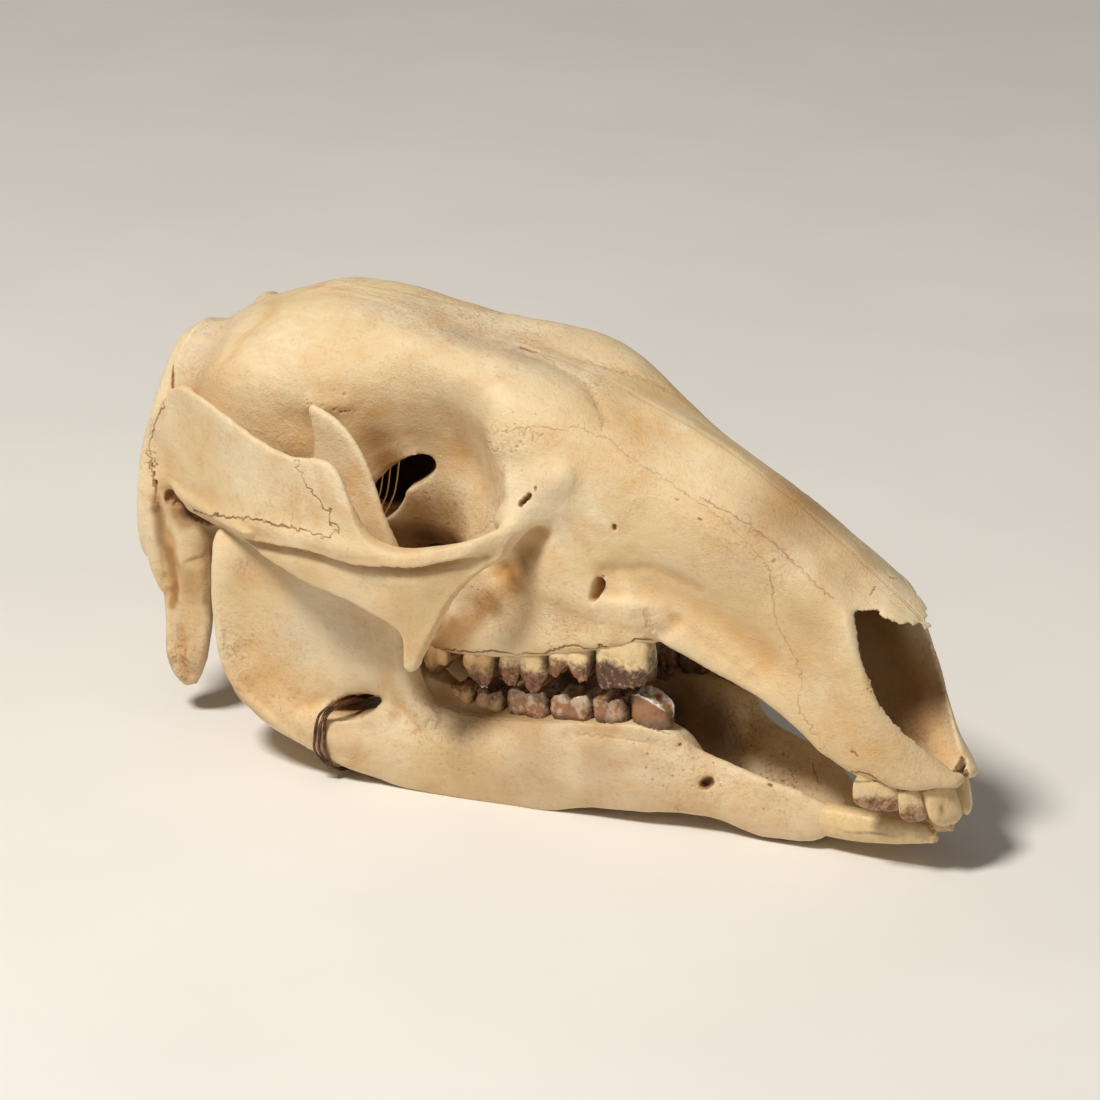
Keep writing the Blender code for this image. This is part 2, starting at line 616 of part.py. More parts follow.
def incisors(group):
    for number, row in enumerate(UPPER_INCISORS):
        root = np.array(row[0:3])
        tip = np.array(row[3:6])
        wide_root, deep_root, wide_tip, deep_tip, turn = row[6:11]
        ahead = (tip - root) / np.linalg.norm(tip - root)
        around = np.array((math.cos(math.radians(turn)), math.sin(math.radians(turn)), 0.0))
        deep = np.cross(ahead, around)
        rings = []
        for share in (0.0, 0.45, 0.85, 1.0):
            centre = root + (tip - root) * share
            wide = (wide_root + (wide_tip - wide_root) * share) / 2 * (0.86 if share == 1.0 else 1.0)
            thick = (deep_root + (deep_tip - deep_root) * share) / 2 * (0.6 if share == 1.0 else 1.0)
            angles = np.linspace(0, 2 * math.pi, 10, endpoint=False)
            ring = centre + np.outer(wide * np.cos(angles), around) + np.outer(thick * np.sin(angles), deep)
            rings.append(ring)
        loft(f"incisor_{number}", rings, group)


def build_cranium(parts, pieces, cutters):
    body = skull_body(parts)
    lump("occiput_hollow", OCCIPUT_HOLLOW, cutters)
    combine(body, cutters, "DIFFERENCE")
    nasal_roof(pieces)
    for number, values in enumerate(MIDLINE_LUMPS):
        lump(f"base_{number}", values, pieces)
    right = [cheek_arch(pieces), tooth_bone(pieces), shelf(pieces)]
    right += [lump(f"side_{n}", values, pieces) for n, values in enumerate(SIDE_LUMPS)]
    right.append(tube("mastoid", MASTOID_PATH, pieces))
    right.append(tube("paroccipital", PAROCCIPITAL_PATH, pieces, flat=PAROCCIPITAL_FLAT))
    right.append(tube("pterygoid", PTERYGOID_PATH, pieces))
    for item in right:
        mirrored(item, pieces)
    combine(body, pieces, "UNION")
    nose_hollow(cutters)
    fissure = lump("fissure", ORBIT_FISSURE, cutters, ORBIT_FISSURE[6])
    mirrored(fissure, cutters)
    infraorbital = lump("infraorbital", INFRAORBITAL, cutters, INFRAORBITAL[6])
    mirrored(infraorbital, cutters)
    lump("foramen_magnum", FORAMEN_MAGNUM, cutters)
    lump("choana", CHOANA, cutters)
    combine(body, cutters, "DIFFERENCE")
    remesh(body, FINE_VOXEL, BLEND_STEPS)
    keep_largest(body)
    simplify(body, CRANIUM_TRIANGLES, True)
    return body


def box(name, low, high, group):
    bpy.ops.mesh.primitive_cube_add(size=1.0)
    item = bpy.context.object
    item.name = name
    item.location = [(a + b) / 2 * MM for a, b in zip(low, high)]
    item.scale = [(b - a) * MM for a, b in zip(low, high)]
    bpy.ops.object.transform_apply(location=True, rotation=True, scale=True)
    for owner in list(item.users_collection):
        owner.objects.unlink(item)
    group.objects.link(item)
    return item


def part_of(source, name, low, high, parts, cutters):
    """The piece of a mesh inside a box, as an object of its own."""
    item = bpy.data.objects.new(name, source.data.copy())
    parts.objects.link(item)
    box("region", low, high, cutters)
    combine(item, cutters, "INTERSECT")
    keep_largest(item)
    return item


def jaw_body(group):
    rings = []
    for x in steps(JAW_SECTIONS, LOFT_STEP):
        outer, ridge, inner, ridge_z, inner_z, bottom = [float(column(JAW_SECTIONS, i, x)) for i in range(1, 7)]
        half = (outer - inner) / 2
        outline = spline([(-outer + half * 0.42, bottom), (-inner - half * 0.5, bottom),
                          (-inner, bottom + 0.3 * (inner_z - bottom)),
                          (-inner - half * 0.06, bottom + 0.72 * (inner_z - bottom)),
                          (-inner - half * 0.4, inner_z), (-ridge + half * 0.1, ridge_z),
                          (-ridge - half * 0.16, ridge_z - 0.2),
                          (-outer + half * 0.05, bottom + 0.72 * (ridge_z - bottom)),
                          (-outer, bottom + 0.3 * (ridge_z - bottom))], 32, True)
        outline[:, 1] = np.maximum(outline[:, 1], bottom)
        rings.append(np.column_stack([np.full(len(outline), x), outline]))
    return loft("jaw_body", rings, group)


def jaw_angle(group):
    rings = []
    for x in steps(ANGLE_SECTIONS, LOFT_STEP):
        outer, inner, middle, thick = [float(column(ANGLE_SECTIONS, i, x)) for i in range(1, 5)]
        half = thick / 2
        outline = spline([(-outer, middle), (-outer + thick, middle - half), (-inner - thick, middle - half),
                          (-inner, middle + half * 0.6), (-inner - thick, middle + half),
                          (-outer + thick, middle + half)], 20, True)
        rings.append(np.column_stack([np.full(len(outline), x), outline]))
    return loft("angle", rings, group)


def jaw_ramus(group):
    start_half = 2.0
    item = plate("ramus", RAMUS_OUTLINE, start_half, group)
    rear_rim = [(17.4, 35.0), (17.4, 27.0), (18.6, 17.0), (23.0, 10.0), (32.0, 5.0), (41.0, 3.0), (56.0, 3.0)]
    front_rim = [(56.0, 8.0), (52.0, 17.0), (50.0, 30.0), (48.6, 42.0)]

    def rule(p):
        outer = column(RAMUS_OUTER, 1, p[:, 0])
        rise = np.clip((p[:, 2] - 30.0) / 18.0, 0, 1)
        rise = rise * rise * (3 - 2 * rise)
        rear = np.exp(-(near_line(p, rear_rim) / 4.2) ** 2)
        front = np.exp(-(near_line(p, front_rim) / 3.2) ** 2) * (1 - rise)
        rim = np.maximum(rear, 0.75 * front)
        half = FOSSA_HALF + (RIM_HALF - FOSSA_HALF) * rim
        surface = (outer - FOSSA_DEPTH * (1 - rim)) * (1 - rise) + (CORONOID_Y + FOSSA_HALF) * rise
        out = p.copy()
        out[:, 1] = -(surface - half) + p[:, 1] / start_half * half
        return out

    bend(item, rule)
    return item


def build_jaw(parts, pieces, cutters):
    jaw = jaw_body(parts)
    jaw_ramus(pieces)
    lump("condyle", CONDYLE, pieces)
    jaw_angle(pieces)
    combine(jaw, pieces, "UNION")
    lump("masseteric_hole", MASSETERIC_HOLE, cutters)
    combine(jaw, cutters, "DIFFERENCE")
    remesh(jaw, FINE_VOXEL, BLEND_STEPS)
    keep_largest(jaw)
    simplify(jaw, JAW_TRIANGLES, False)
    cheek_teeth(LOWER_TEETH, LOWER_ROW, -TOOTH_ROOT, pieces)
    tube("lower_incisor", LOWER_INCISOR, pieces, flat=LOWER_INCISOR_FLAT, sides=10, count=8)
    combine(jaw, pieces, "UNION")
    box("clear", (-20.0, -60.0, FLOOR_Z), (160.0, -SYMPHYSIS_GAP, 90.0), cutters)
    combine(jaw, cutters, "INTERSECT")
    keep_largest(jaw)
    return jaw


def wire_tie(name, group):
    curve = bpy.data.curves.new(name, "CURVE")
    curve.dimensions = "3D"
    curve.bevel_depth = WIRE_RADIUS * MM
    curve.bevel_resolution = 1
    line = curve.splines.new("POLY")
    points = spline(WIRE_LOOP, 2 * len(WIRE_LOOP), True)
    line.points.add(len(points) - 1)
    for target, point in zip(line.points, points):
        target.co = (*(point * MM), 1.0)
    line.use_cyclic_u = True
    soft = bpy.data.objects.new(name + "_curve", curve)
    group.objects.link(soft)
    graph = bpy.context.evaluated_depsgraph_get()
    mesh = bpy.data.meshes.new_from_object(soft.evaluated_get(graph), depsgraph=graph)
    bpy.data.objects.remove(soft, do_unlink=True)
    item = bpy.data.objects.new(name, mesh)
    group.objects.link(item)
    return item


def finish(item, name, material):
    item.name = name
    item.data.name = name
    bend(item, lambda p: p - np.array((CENTRE_X, 0.0, FLOOR_Z)))
    item.data.materials.clear()
    item.data.materials.append(material)
    item.data.shade_smooth()
    item.data.set_sharp_from_angle(angle=math.radians(40))


def main():
    clear_scene()
    parts = new_collection(SKULL_NAME)
    pieces = new_collection("pieces")
    cutters = new_collection("cutters")
    bone = make_material("bone", BONE_COLOUR, 0.5, 0.0)
    wire = make_material("copper_wire", WIRE_COLOUR, 0.45, 0.8)

    cranium = build_cranium(parts, pieces, cutters)
    gap = PART_GAP / 2
    arch = ARCH_CUT_Y
    far = 90.0
    braincase = part_of(cranium, "braincase", (-40, -arch, 0), (FACE_CUT_X - gap, arch, far), parts, cutters)
    snout = part_of(cranium, "snout", (FACE_CUT_X + gap, -arch, 0), (160, arch, far), parts, cutters)
    arch_right = part_of(cranium, "arch_right", (-40, -far, 0), (160, -arch - 2 * gap, far), parts, cutters)
    bpy.data.objects.remove(cranium, do_unlink=True)
    cheek_teeth(UPPER_TEETH, UPPER_ROW, TOOTH_ROOT, pieces)
    incisors(pieces)
    for item in list(pieces.objects):
        mirrored(item, pieces)
    combine(snout, pieces, "UNION")
    keep_largest(snout)
    arch_left = mirrored(arch_right, parts)
    jaw_right = build_jaw(parts, pieces, cutters)
    jaw_left = mirrored(jaw_right, parts)
    tie_right = wire_tie("wire_tie_right", parts)
    tie_left = mirrored(tie_right, parts)

    for item, name in ((braincase, "braincase"), (snout, "snout"), (arch_right, "cheek_arch_right"),
                       (arch_left, "cheek_arch_left"), (jaw_right, "jaw_right"), (jaw_left, "jaw_left")):
        finish(item, name, bone)
    finish(tie_right, "wire_tie_right", wire)
    finish(tie_left, "wire_tie_left", wire)


main()
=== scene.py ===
import json
import math

import bmesh
import bpy
import numpy as np
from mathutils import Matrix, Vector
from mathutils.kdtree import KDTree

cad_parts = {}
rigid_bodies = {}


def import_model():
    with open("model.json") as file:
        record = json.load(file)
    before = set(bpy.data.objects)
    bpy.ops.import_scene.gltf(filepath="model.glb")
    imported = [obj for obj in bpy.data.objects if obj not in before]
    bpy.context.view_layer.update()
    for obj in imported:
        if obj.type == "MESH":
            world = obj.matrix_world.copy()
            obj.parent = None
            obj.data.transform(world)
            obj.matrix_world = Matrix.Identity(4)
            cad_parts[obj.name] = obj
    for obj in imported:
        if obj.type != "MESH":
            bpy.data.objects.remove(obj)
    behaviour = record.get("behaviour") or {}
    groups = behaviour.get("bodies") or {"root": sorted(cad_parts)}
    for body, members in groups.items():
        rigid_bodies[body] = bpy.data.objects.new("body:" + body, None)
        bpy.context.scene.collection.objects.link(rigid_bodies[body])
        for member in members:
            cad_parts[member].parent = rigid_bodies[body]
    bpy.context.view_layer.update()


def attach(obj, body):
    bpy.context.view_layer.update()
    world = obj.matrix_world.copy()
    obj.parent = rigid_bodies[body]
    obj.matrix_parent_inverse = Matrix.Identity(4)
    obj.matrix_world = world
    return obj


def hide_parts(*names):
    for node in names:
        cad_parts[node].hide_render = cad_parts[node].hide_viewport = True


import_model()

MM = 0.001
CENTRE_X = 67.4
FLOOR_Z = -2.0
SEED = 7

CRANIUM_VOXEL = 0.48
JAW_VOXEL = 0.46
PLATE_VOXEL = 0.45
PLATE_STEPS = 6
PLATE_HALF = 2.0
BLEND_STEPS = 3
RING_POINTS = 110
JAW_RING_POINTS = 72
TUBE_SIDES = 28
STRAND_SIDES = 14
LOFT_STEP = 0.9

# Cross sections of the skull's main body, back to front:
# x, top z, roof edge y z, upper side y z, widest y z, lower edge y z, bottom z.
BODY_SECTIONS = [
    (-5.6, 61.4, 9, 61.4, 14.6, 57, 21.8, 42.5, 20.6, 25.5, 27),
    (-3.4, 64.6, 8.8, 64.7, 14.7, 60.6, 21.7, 44, 20.4, 25.5, 27),
    (0, 66.6, 9.2, 66, 16.2, 59.8, 21.5, 45, 19.6, 27, 27),
    (3, 67.4, 9.8, 66, 18, 58.4, 21.4, 46, 18.2, 29, 27),
    (10, 70.1, 10.3, 68.2, 19.5, 61, 21.3, 47, 16.5, 31, 27.5),
    (20, 73.2, 10.4, 71.6, 20.2, 63.5, 21.5, 50, 15.5, 33, 29),
    (30, 73.5, 9.8, 72.2, 18.8, 64.5, 19.8, 51, 13.5, 35, 30),
    (38, 72.8, 9.4, 71.9, 15.6, 64.5, 15.8, 52, 10.5, 37, 31),
    (46, 71.4, 10.2, 71.6, 12.8, 64, 11.2, 52, 8.5, 39, 32),
    (53, 70.6, 11.8, 71.3, 13, 64, 10.4, 52, 10.5, 38, 31.5),
    (60, 70, 13.6, 70.3, 15.6, 63.5, 13, 52, 15.5, 36, 30.5),
    (67, 69, 14.4, 68.6, 18.8, 61.5, 18.2, 50, 17.2, 35, 30.5),
    (74, 67.7, 13.4, 66.2, 18.4, 59, 18.8, 48, 17.3, 34, 31),
    (82, 65.4, 11.8, 62.5, 16.2, 55.5, 17, 44, 16.7, 33, 31.5),
    (92, 62.6, 10.2, 57.7, 13.2, 51.5, 13.6, 41, 14.6, 32, 32.6),
    (102, 58.6, 9.6, 53.4, 11.6, 47, 11.2, 37, 11.9, 28.2, 28.9),
    (112, 53.6, 9.2, 48.9, 10.7, 41.5, 10.3, 33, 10.8, 24.6, 25),
    (119, 49.2, 9, 45.4, 10.5, 37, 10.5, 28.5, 10.2, 20.6, 21),
    (124, 45.8, 9, 42.6, 10.5, 35, 10.7, 26, 10, 16.8, 17.2),
    (126.4, 41.6, 9.2, 41.2, 10.7, 35.6, 10.8, 25.6, 9.8, 15.7, 16),
    (129, 35.6, 9.4, 35.4, 10.8, 31, 10.9, 24, 9.6, 15, 15.2),
    (131.5, 29.9, 9, 29.6, 10.4, 27, 10.5, 22, 9.3, 15, 15),
    (134.6, 24.8, 7.2, 24.6, 8.6, 22.8, 9.4, 19, 8.4, 14, 14.2),
    (138.1, 20.4, 5.1, 20, 6.5, 18.9, 7.6, 16.6, 7, 13.7, 14),
    (141.3, 17.2, 3.4, 16.9, 4.6, 16.4, 5.3, 15.6, 4.9, 14.1, 14.2),
    (143.4, 15.6, 2.1, 15.4, 3, 15.2, 3.4, 14.8, 3.1, 13.9, 14),
]

# Nasal bones, a thin roof over the nose: x, top z, half width, edge drop, thickness.
NASAL_SECTIONS = [
    (98, 60.1, 8, 3.6, 4),
    (110, 54.8, 7.9, 3.6, 3.2),
    (118, 50.2, 8.2, 3.7, 2.4),
    (124, 46.4, 8.1, 3.5, 1.7),
    (128, 43.9, 6.5, 2.4, 1.4),
    (131.8, 41.5, 4.9, 1, 1.2),
    (134.2, 39.6, 3.1, 0.7, 1.1),
    (135.7, 38.2, 1.4, 0.4, 0.9),
]
NASAL_ROUND = 2.2

# Hollow of the nose: x, top z, half width, bottom z.
NOSE_SECTIONS = [
    (103, 50, 3, 40),
    (110, 51.2, 6.8, 35),
    (118, 47.4, 8.7, 29),
    (124, 44.5, 9.2, 22.6),
    (128, 42.4, 9.4, 19.4),
    (132, 40.4, 8.8, 17.4),
    (136, 38, 6.4, 16),
    (140, 36, 3.4, 15.7),
    (144, 34, 1.6, 15.6),
]
NOSE_POWER = 0.6

# Half width of the cheek arches along the skull, and the arch's outline seen from the side.
ARCH_WIDTH = [(-6, 20.5), (0, 21.5), (10, 25.5), (20, 30), (30, 34), (40, 36.3), (50, 36.8),
              (60, 34.8), (66, 31.2), (72, 25.3), (76, 20.8), (79, 18.5), (82, 16.4)]
ARCH_OUTLINE = [
    (-3.5, 50), (2.3, 58.1), (9.5, 59.4), (18.4, 58.8), (28, 57.9), (37, 57.3), (43.5, 58.4),
    (47, 57.2), (49.6, 52.5), (52, 47.4), (56.9, 45.5), (62.4, 46.1), (67.4, 47.3), (70.8, 49.2),
    (74.6, 51.8), (78.8, 53.2), (78.6, 51.4), (75.2, 48.4), (72.9, 46), (71.7, 43.8),
    (69.4, 42.1), (66.8, 39.5),
    (64.6, 36.2), (62.5, 31.8), (60.4, 27.2), (59, 23.9), (57.3, 24.6), (57.4, 28.2), (55.9, 31.5),
    (48.7, 34.4), (39.4, 35.6), (27.8, 37.4), (15, 37.4), (4, 37), (-3.5, 40),
]
ARCH_HALF = 1.25
ARCH_RIDGE = [(6, 38.5), (20, 41.5), (33, 44), (46, 44.3), (58, 44.2), (66, 45.2), (72.4, 47.8), (77, 51.4)]
ARCH_RIDGE_HALF = 1.0
ARCH_RIDGE_REACH = 1.6
ARCH_RIDGE_OUT = 0.8
# The arch's lower part leans inwards below a height, and its top edge is thinner.
ARCH_LOWER_INSET = 2.2
ARCH_LOWER_Z = 42.0
ARCH_LOWER_FADE = 12.0
ARCH_TOP_REACH = 2.6
ARCH_TOP_THINNING = 0.5

# Rounded pieces of the skull's base: x, y, z of the centre and the three half sizes.
# Those at the sides are the ear bulla, the neck joint and the bone above the mastoid, and are mirrored.
MIDLINE_LUMPS = [
    (26, 0, 31.5, 24, 7, 4),
]
SIDE_LUMPS = [
    (13, -12.5, 29.5, 9.5, 6, 7),
    (-4.8, -7.2, 32, 4.4, 4.2, 6),
    (4, -17.5, 36, 5, 4, 9),
]
# Front root of the cheek arch beside the lacrimal bone: centre, half sizes, turn about Y in degrees.
ARCH_ROOTS = [(71.2, -18.2, 50.2, 6.2, 5.6, 3.2, -40), (73.4, -16.8, 54.6, 7.6, 4.6, 4.6, -25)]
# Shelf that joins the arch to the braincase over the jaw joint: x, bottom z, top z.
SHELF = [(-2, 37.6, 43), (6, 37.8, 42), (16, 38.6, 42.4), (24, 39.6, 43), (28, 40.6, 42.6)]
SHELF_INNER_Y = 15.0
OCCIPUT_HOLLOW = (-12.5, 0, 43, 9.4, 19.2, 17.5)
# Middle of the upper rear edge, moved forward: how far, half width, where it starts and its fades.
INION_FORWARD = 4.2
INION_HALF = 7.5
INION_X = 4.0
INION_X_FADE = 9.0
INION_Z = 46.0
INION_Z_FADE = 14.0

# Edge of the mastoid behind the ear, and the process beside it: x, y, z, radius.
MASTOID_PATH = [
    (-4.2, -20.8, 40, 1.5), (-3.6, -21.2, 32, 1.5), (-2.8, -21, 25, 1.3), (-1.6, -20.4, 20.4, 0.9),
]
PAROCCIPITAL_PATH = [
    (1.6, -18.6, 34, 5.6), (2.1, -18.8, 24, 5.2), (2, -19, 15, 4.7), (1.3, -19, 8.4, 4),
    (1.6, -19, 5.4, 3), (2.2, -19, 3.4, 1.4),
]
PAROCCIPITAL_FLAT = 0.55
PTERYGOID_PATH = [
    (52, -10.5, 31, 2.6), (45, -8.5, 30, 1.8), (39, -7.5, 28.5, 1.5), (33, -7.4, 26.5, 1),
]

# Bone that holds the upper cheek teeth: x, centre y, half width, top z, bottom z.
TOOTH_BONE = [
    (49, 15.8, 1.8, 33, 22), (54, 15.6, 3, 36, 21.2), (64, 14.9, 3.4, 38, 22.4),
    (74, 14.3, 3.6, 38, 24.7), (84, 13.4, 3.7, 38, 27.6), (91, 12.4, 3, 38, 29.6),
    (95.5, 11.2, 1.6, 36, 31.2),
]

# Outer side of the two rows of cheek teeth: x, y.
UPPER_ROW = [(50, 18.5), (58, 18.3), (66, 18), (75, 17.6), (84, 16.8), (94.5, 15.4)]
LOWER_ROW = [(54, 17), (60, 16.8), (68, 16.4), (76, 15.9), (84, 15.2), (96, 13.4)]
# Upper cheek teeth of one side, back to front: rear x, front x, width, gum z, tip z, lobes.
# A tooth of two lobes has two cross ridges, and one of a single lobe is a blade.
UPPER_TEETH = [
    (49.8, 55.8, 6.2, 22, 16.3, 2),
    (57.8, 64.4, 6.8, 23, 16.7, 2),
    (64.6, 74, 6.9, 24.8, 18.2, 2),
    (74.3, 82.6, 6.6, 27.4, 21.6, 2),
    (82.9, 92.8, 4.8, 30.2, 22.6, 1),
]
# Lower cheek teeth, which bite inside the upper ones.
LOWER_TEETH = [
    (54.4, 59.3, 5.6, 11.8, 15.4, 2),
    (59.5, 65.2, 6, 12, 16, 2),
    (65.3, 73.5, 6.1, 12.6, 17.8, 2),
    (73.7, 81.6, 6, 14, 18.8, 2),
    (81.7, 88, 5.2, 15.2, 19.8, 2),
    (88.1, 95.2, 4.6, 15.6, 21.6, 1),
]
TOOTH_ROOT = 3.0

# Upper front teeth of one side: root x y z, tip x y z, root width and depth, tip width and depth,
# how far the tooth faces round from the side to the front, in degrees, and the share at the gum.
UPPER_INCISORS = [
    (139, -3.2, 14.8, 141.7, -3, 7.3, 5.2, 3, 5.8, 2, 56, 0.13),
    (136, -6.3, 13.8, 137.5, -6.1, 8, 3.6, 2.8, 4.6, 1.9, 40, 0.03),
    (131.2, -8.2, 14.8, 132.3, -8.3, 9.4, 6.6, 2.8, 8.2, 1.7, 20, 0.03),
]
LOWER_INCISOR = [
    (112, -4.2, 3.4, 2.2), (119, -4, 3.1, 2.7), (126, -3.6, 3.5, 2.7),
    (132, -3.1, 4.1, 2.4), (136.8, -2.8, 4.8, 1.9), (139.4, -2.7, 4.5, 0.9),
]
LOWER_INCISOR_FLAT = 0.82

# Body of the lower jaw: x, outer y, ridge y, inner y, ridge z, inner z, bottom z.
JAW_SECTIONS = [
    (33, 29.6, 26, 21, 10.5, 9.6, 3.2),
    (40, 28.4, 24.4, 17, 13.2, 15, 0.2),
    (46, 26.9, 22.6, 13.2, 14, 18.2, -1.4),
    (50, 25.8, 21.6, 12, 13.9, 17.8, -2.4),
    (54, 24.6, 20.4, 11.8, 12.8, 15.6, -2.8),
    (60, 22.8, 18.2, 12.4, 12, 12.8, -3),
    (72, 19.6, 16.6, 10.8, 13, 13.4, -2.8),
    (82, 17.2, 15.4, 9.2, 14.7, 14.6, -0.4),
    (91, 14.9, 13.7, 6.9, 15.8, 15.4, 0.3),
    (95.6, 13.4, 11.9, 5.4, 15, 13.4, 0.8),
    (98.6, 12.4, 9.6, 4, 12, 9.2, 0.8),
    (103, 10.8, 8.1, 1.6, 10.2, 6.4, 0.2),
    (110, 9.2, 7.6, 0.3, 8.8, 5.2, -1.5),
    (115, 7.9, 6.2, 0.2, 7.6, 5, -1.2),
    (118.6, 6.9, 5.2, 0.2, 6.4, 4.6, -0.5),
    (120.4, 5.8, 4.4, 0.6, 5.6, 4.2, 0.4),
]
SYMPHYSIS_GAP = 0.15
# Rising branch of the jaw, outline from the side.
RAMUS_OUTLINE = [
    (57, 3), (56.5, 11), (53, 14.5), (51, 22), (50.2, 32), (49.9, 41.3), (47.8, 48.1),
    (45.6, 53.9), (42.6, 58.2), (38.9, 61.2), (34, 62.6), (34.2, 59.6), (34.8, 56), (33.8, 51),
    (30.6, 45),
    (27, 40), (22, 38), (16.2, 38), (16.5, 32), (16.4, 26), (17.6, 17.4), (20.4, 11.6),
    (25.8, 7.4), (33.6, 3.4),
    (41, 0.6), (48, 0.2),
]
REAR_RIM = [(17.4, 35), (17.4, 27), (18.6, 17), (23, 10), (32, 5), (41, 3), (56, 3)]
FRONT_RIM = [(56, 8), (52, 17), (50, 30), (48.6, 42)]
RAMUS_OUTER = [(12, 31.4), (20, 31.3), (30, 30.2), (40, 28.2), (50, 25.6), (60, 22.6)]
CORONOID_Y = 25.0
# The branch leans in to the coronoid process over this height, and the process has a thinner edge.
CORONOID_Z = 30.0
CORONOID_FADE = 18.0
CORONOID_EDGE_REACH = 2.4
CORONOID_EDGE_THINNING = 0.45
# Thick rims round the thin hollow of the branch.
REAR_RIM_REACH = 4.2
FRONT_RIM_REACH = 3.2
FRONT_RIM_SHARE = 0.75
RIM_HALF = 2.9
FOSSA_HALF = 1.2
FOSSA_DEPTH = 2.4
CONDYLE = (19.8, -23.4, 36, 3.2, 5.4, 2.2)
# Shelf that the angle of the jaw turns inwards: x, outer y, inner y, middle z, thickness.
ANGLE_SECTIONS = [
    (15.2, 25.4, 20.6, 12.8, 1), (17.4, 28, 17, 11.6, 2), (21, 29.6, 13, 9.2, 3.2),
    (27, 29.6, 10, 6.2, 4.2), (34, 28.8, 9, 4.2, 4.2), (41, 27.6, 9.6, 3.5, 3.6),
    (48, 25.6, 13, 2.6, 3),
]
MASSETERIC_HOLE = (41.9, -24, 11.5, 4.9, 14, 1.6, -16)

# Openings cut into the skull: centre x y z, three half sizes, turn about Y in degrees.
ORBIT_FISSURES = [(42.9, -12, 48, 5.8, 5.8, 2.3, -32), (38.7, -12, 43.4, 5.6, 5.8, 2.7, -56)]
FORAMEN_MAGNUM = (-6, 0, 36.5, 9, 6.2, 5.4, 0)
# Canal from the foramen magnum into the braincase.
FORAMEN_CANAL = (5, 0, 39.5, 9, 5.2, 4.6, -25)
INFRAORBITAL = (83.9, -16.2, 38.9, 0.6, 4.8, 2.7, 14)
# Hollow of the braincase, which keeps its openings dark.
BRAIN_HOLLOW = (25.5, 0, 52, 22.5, 14.5, 16)
CHOANA = (44, 0, 31, 9, 5, 4.5, 0)


def column(rows, index, at):
    """Smooth values of one column of a table of stations, without overshoot."""
    xs = np.array([row[0] for row in rows], float)
    ys = np.array([row[index] for row in rows], float)
    step = np.diff(xs)
    rise = np.diff(ys) / step
    slope = np.zeros(len(xs))
    same = rise[:-1] * rise[1:] > 0
    mean = 2 * rise[:-1] * rise[1:] / np.where(same, rise[:-1] + rise[1:], 1.0)
    slope[1:-1] = np.where(same, mean, 0.0)
    slope[0] = rise[0]
    slope[-1] = rise[-1]
    at = np.clip(np.asarray(at, float), xs[0], xs[-1])
    i = np.clip(np.searchsorted(xs, at, side="right") - 1, 0, len(xs) - 2)
    t = (at - xs[i]) / step[i]
    h = step[i]
    return (ys[i] * (1 + 2 * t) * (1 - t) ** 2 + slope[i] * h * t * (1 - t) ** 2
            + ys[i + 1] * t * t * (3 - 2 * t) + slope[i + 1] * h * t * t * (t - 1))


def spline(points, count, closed):
    """Catmull-Rom curve through the points, read at evenly spread values."""
    pts = np.array(points, float)
    n = len(pts)
    spans = n if closed else n - 1
    out = []
    for k in range(count):
        u = k * spans / count if closed else k * spans / (count - 1)
        i = min(int(u), spans - 1)
        t = u - i
        if closed:
            a, b, c, d = (pts[(i + j) % n] for j in (-1, 0, 1, 2))
        else:
            a, b, c, d = pts[max(i - 1, 0)], pts[i], pts[i + 1], pts[min(i + 2, n - 1)]
        out.append(0.5 * (2 * b + (c - a) * t + (2 * a - 5 * b + 4 * c - d) * t * t
                          + (3 * b - a - 3 * c + d) * t ** 3))
    return np.array(out)


def turns(count):
    """Angles spread evenly once round."""
    return np.linspace(0, 2 * math.pi, count, endpoint=False)


def squared(wave, power):
    """A sine or cosine with flatter sides, for a plan between a circle and a rectangle."""
    return np.sign(wave) * np.abs(wave) ** power


def add_mesh(name, points, faces, group):
    mesh = bpy.data.meshes.new(name)
    mesh.from_pydata([tuple(p) for p in np.asarray(points) * MM], [], faces)
    body = bmesh.new()
    body.from_mesh(mesh)
    bmesh.ops.remove_doubles(body, verts=body.verts, dist=1e-7)
    bmesh.ops.recalc_face_normals(body, faces=body.faces)
    body.to_mesh(mesh)
    body.free()
    item = bpy.data.objects.new(name, mesh)
    group.objects.link(item)
    return item


def loft(name, rings, group):
    """Closed body through rings that all have the same number of points."""
    count = len(rings[0])
    points = np.concatenate(rings)
    faces = []
    for row in range(len(rings) - 1):
        for k in range(count):
            a = row * count + k
            b = row * count + (k + 1) % count
            faces.append((a, b, b + count, a + count))
    faces.append(tuple(range(count)))
    last = (len(rings) - 1) * count
    faces.append(tuple(last + k for k in reversed(range(count))))
    return add_mesh(name, points, faces, group)


def table_loft(name, rows, shape, group):
    """Closed body along a table of stations; shape gives the outline in Y and Z at one of them."""
    first = rows[0][0]
    last = rows[-1][0]
    rings = []
    for x in np.linspace(first, last, int((last - first) / LOFT_STEP) + 2):
        outline = shape(x, *[float(column(rows, i, x)) for i in range(1, len(rows[0]))])
        rings.append(np.column_stack([np.full(len(outline), x), outline]))
    return loft(name, rings, group)


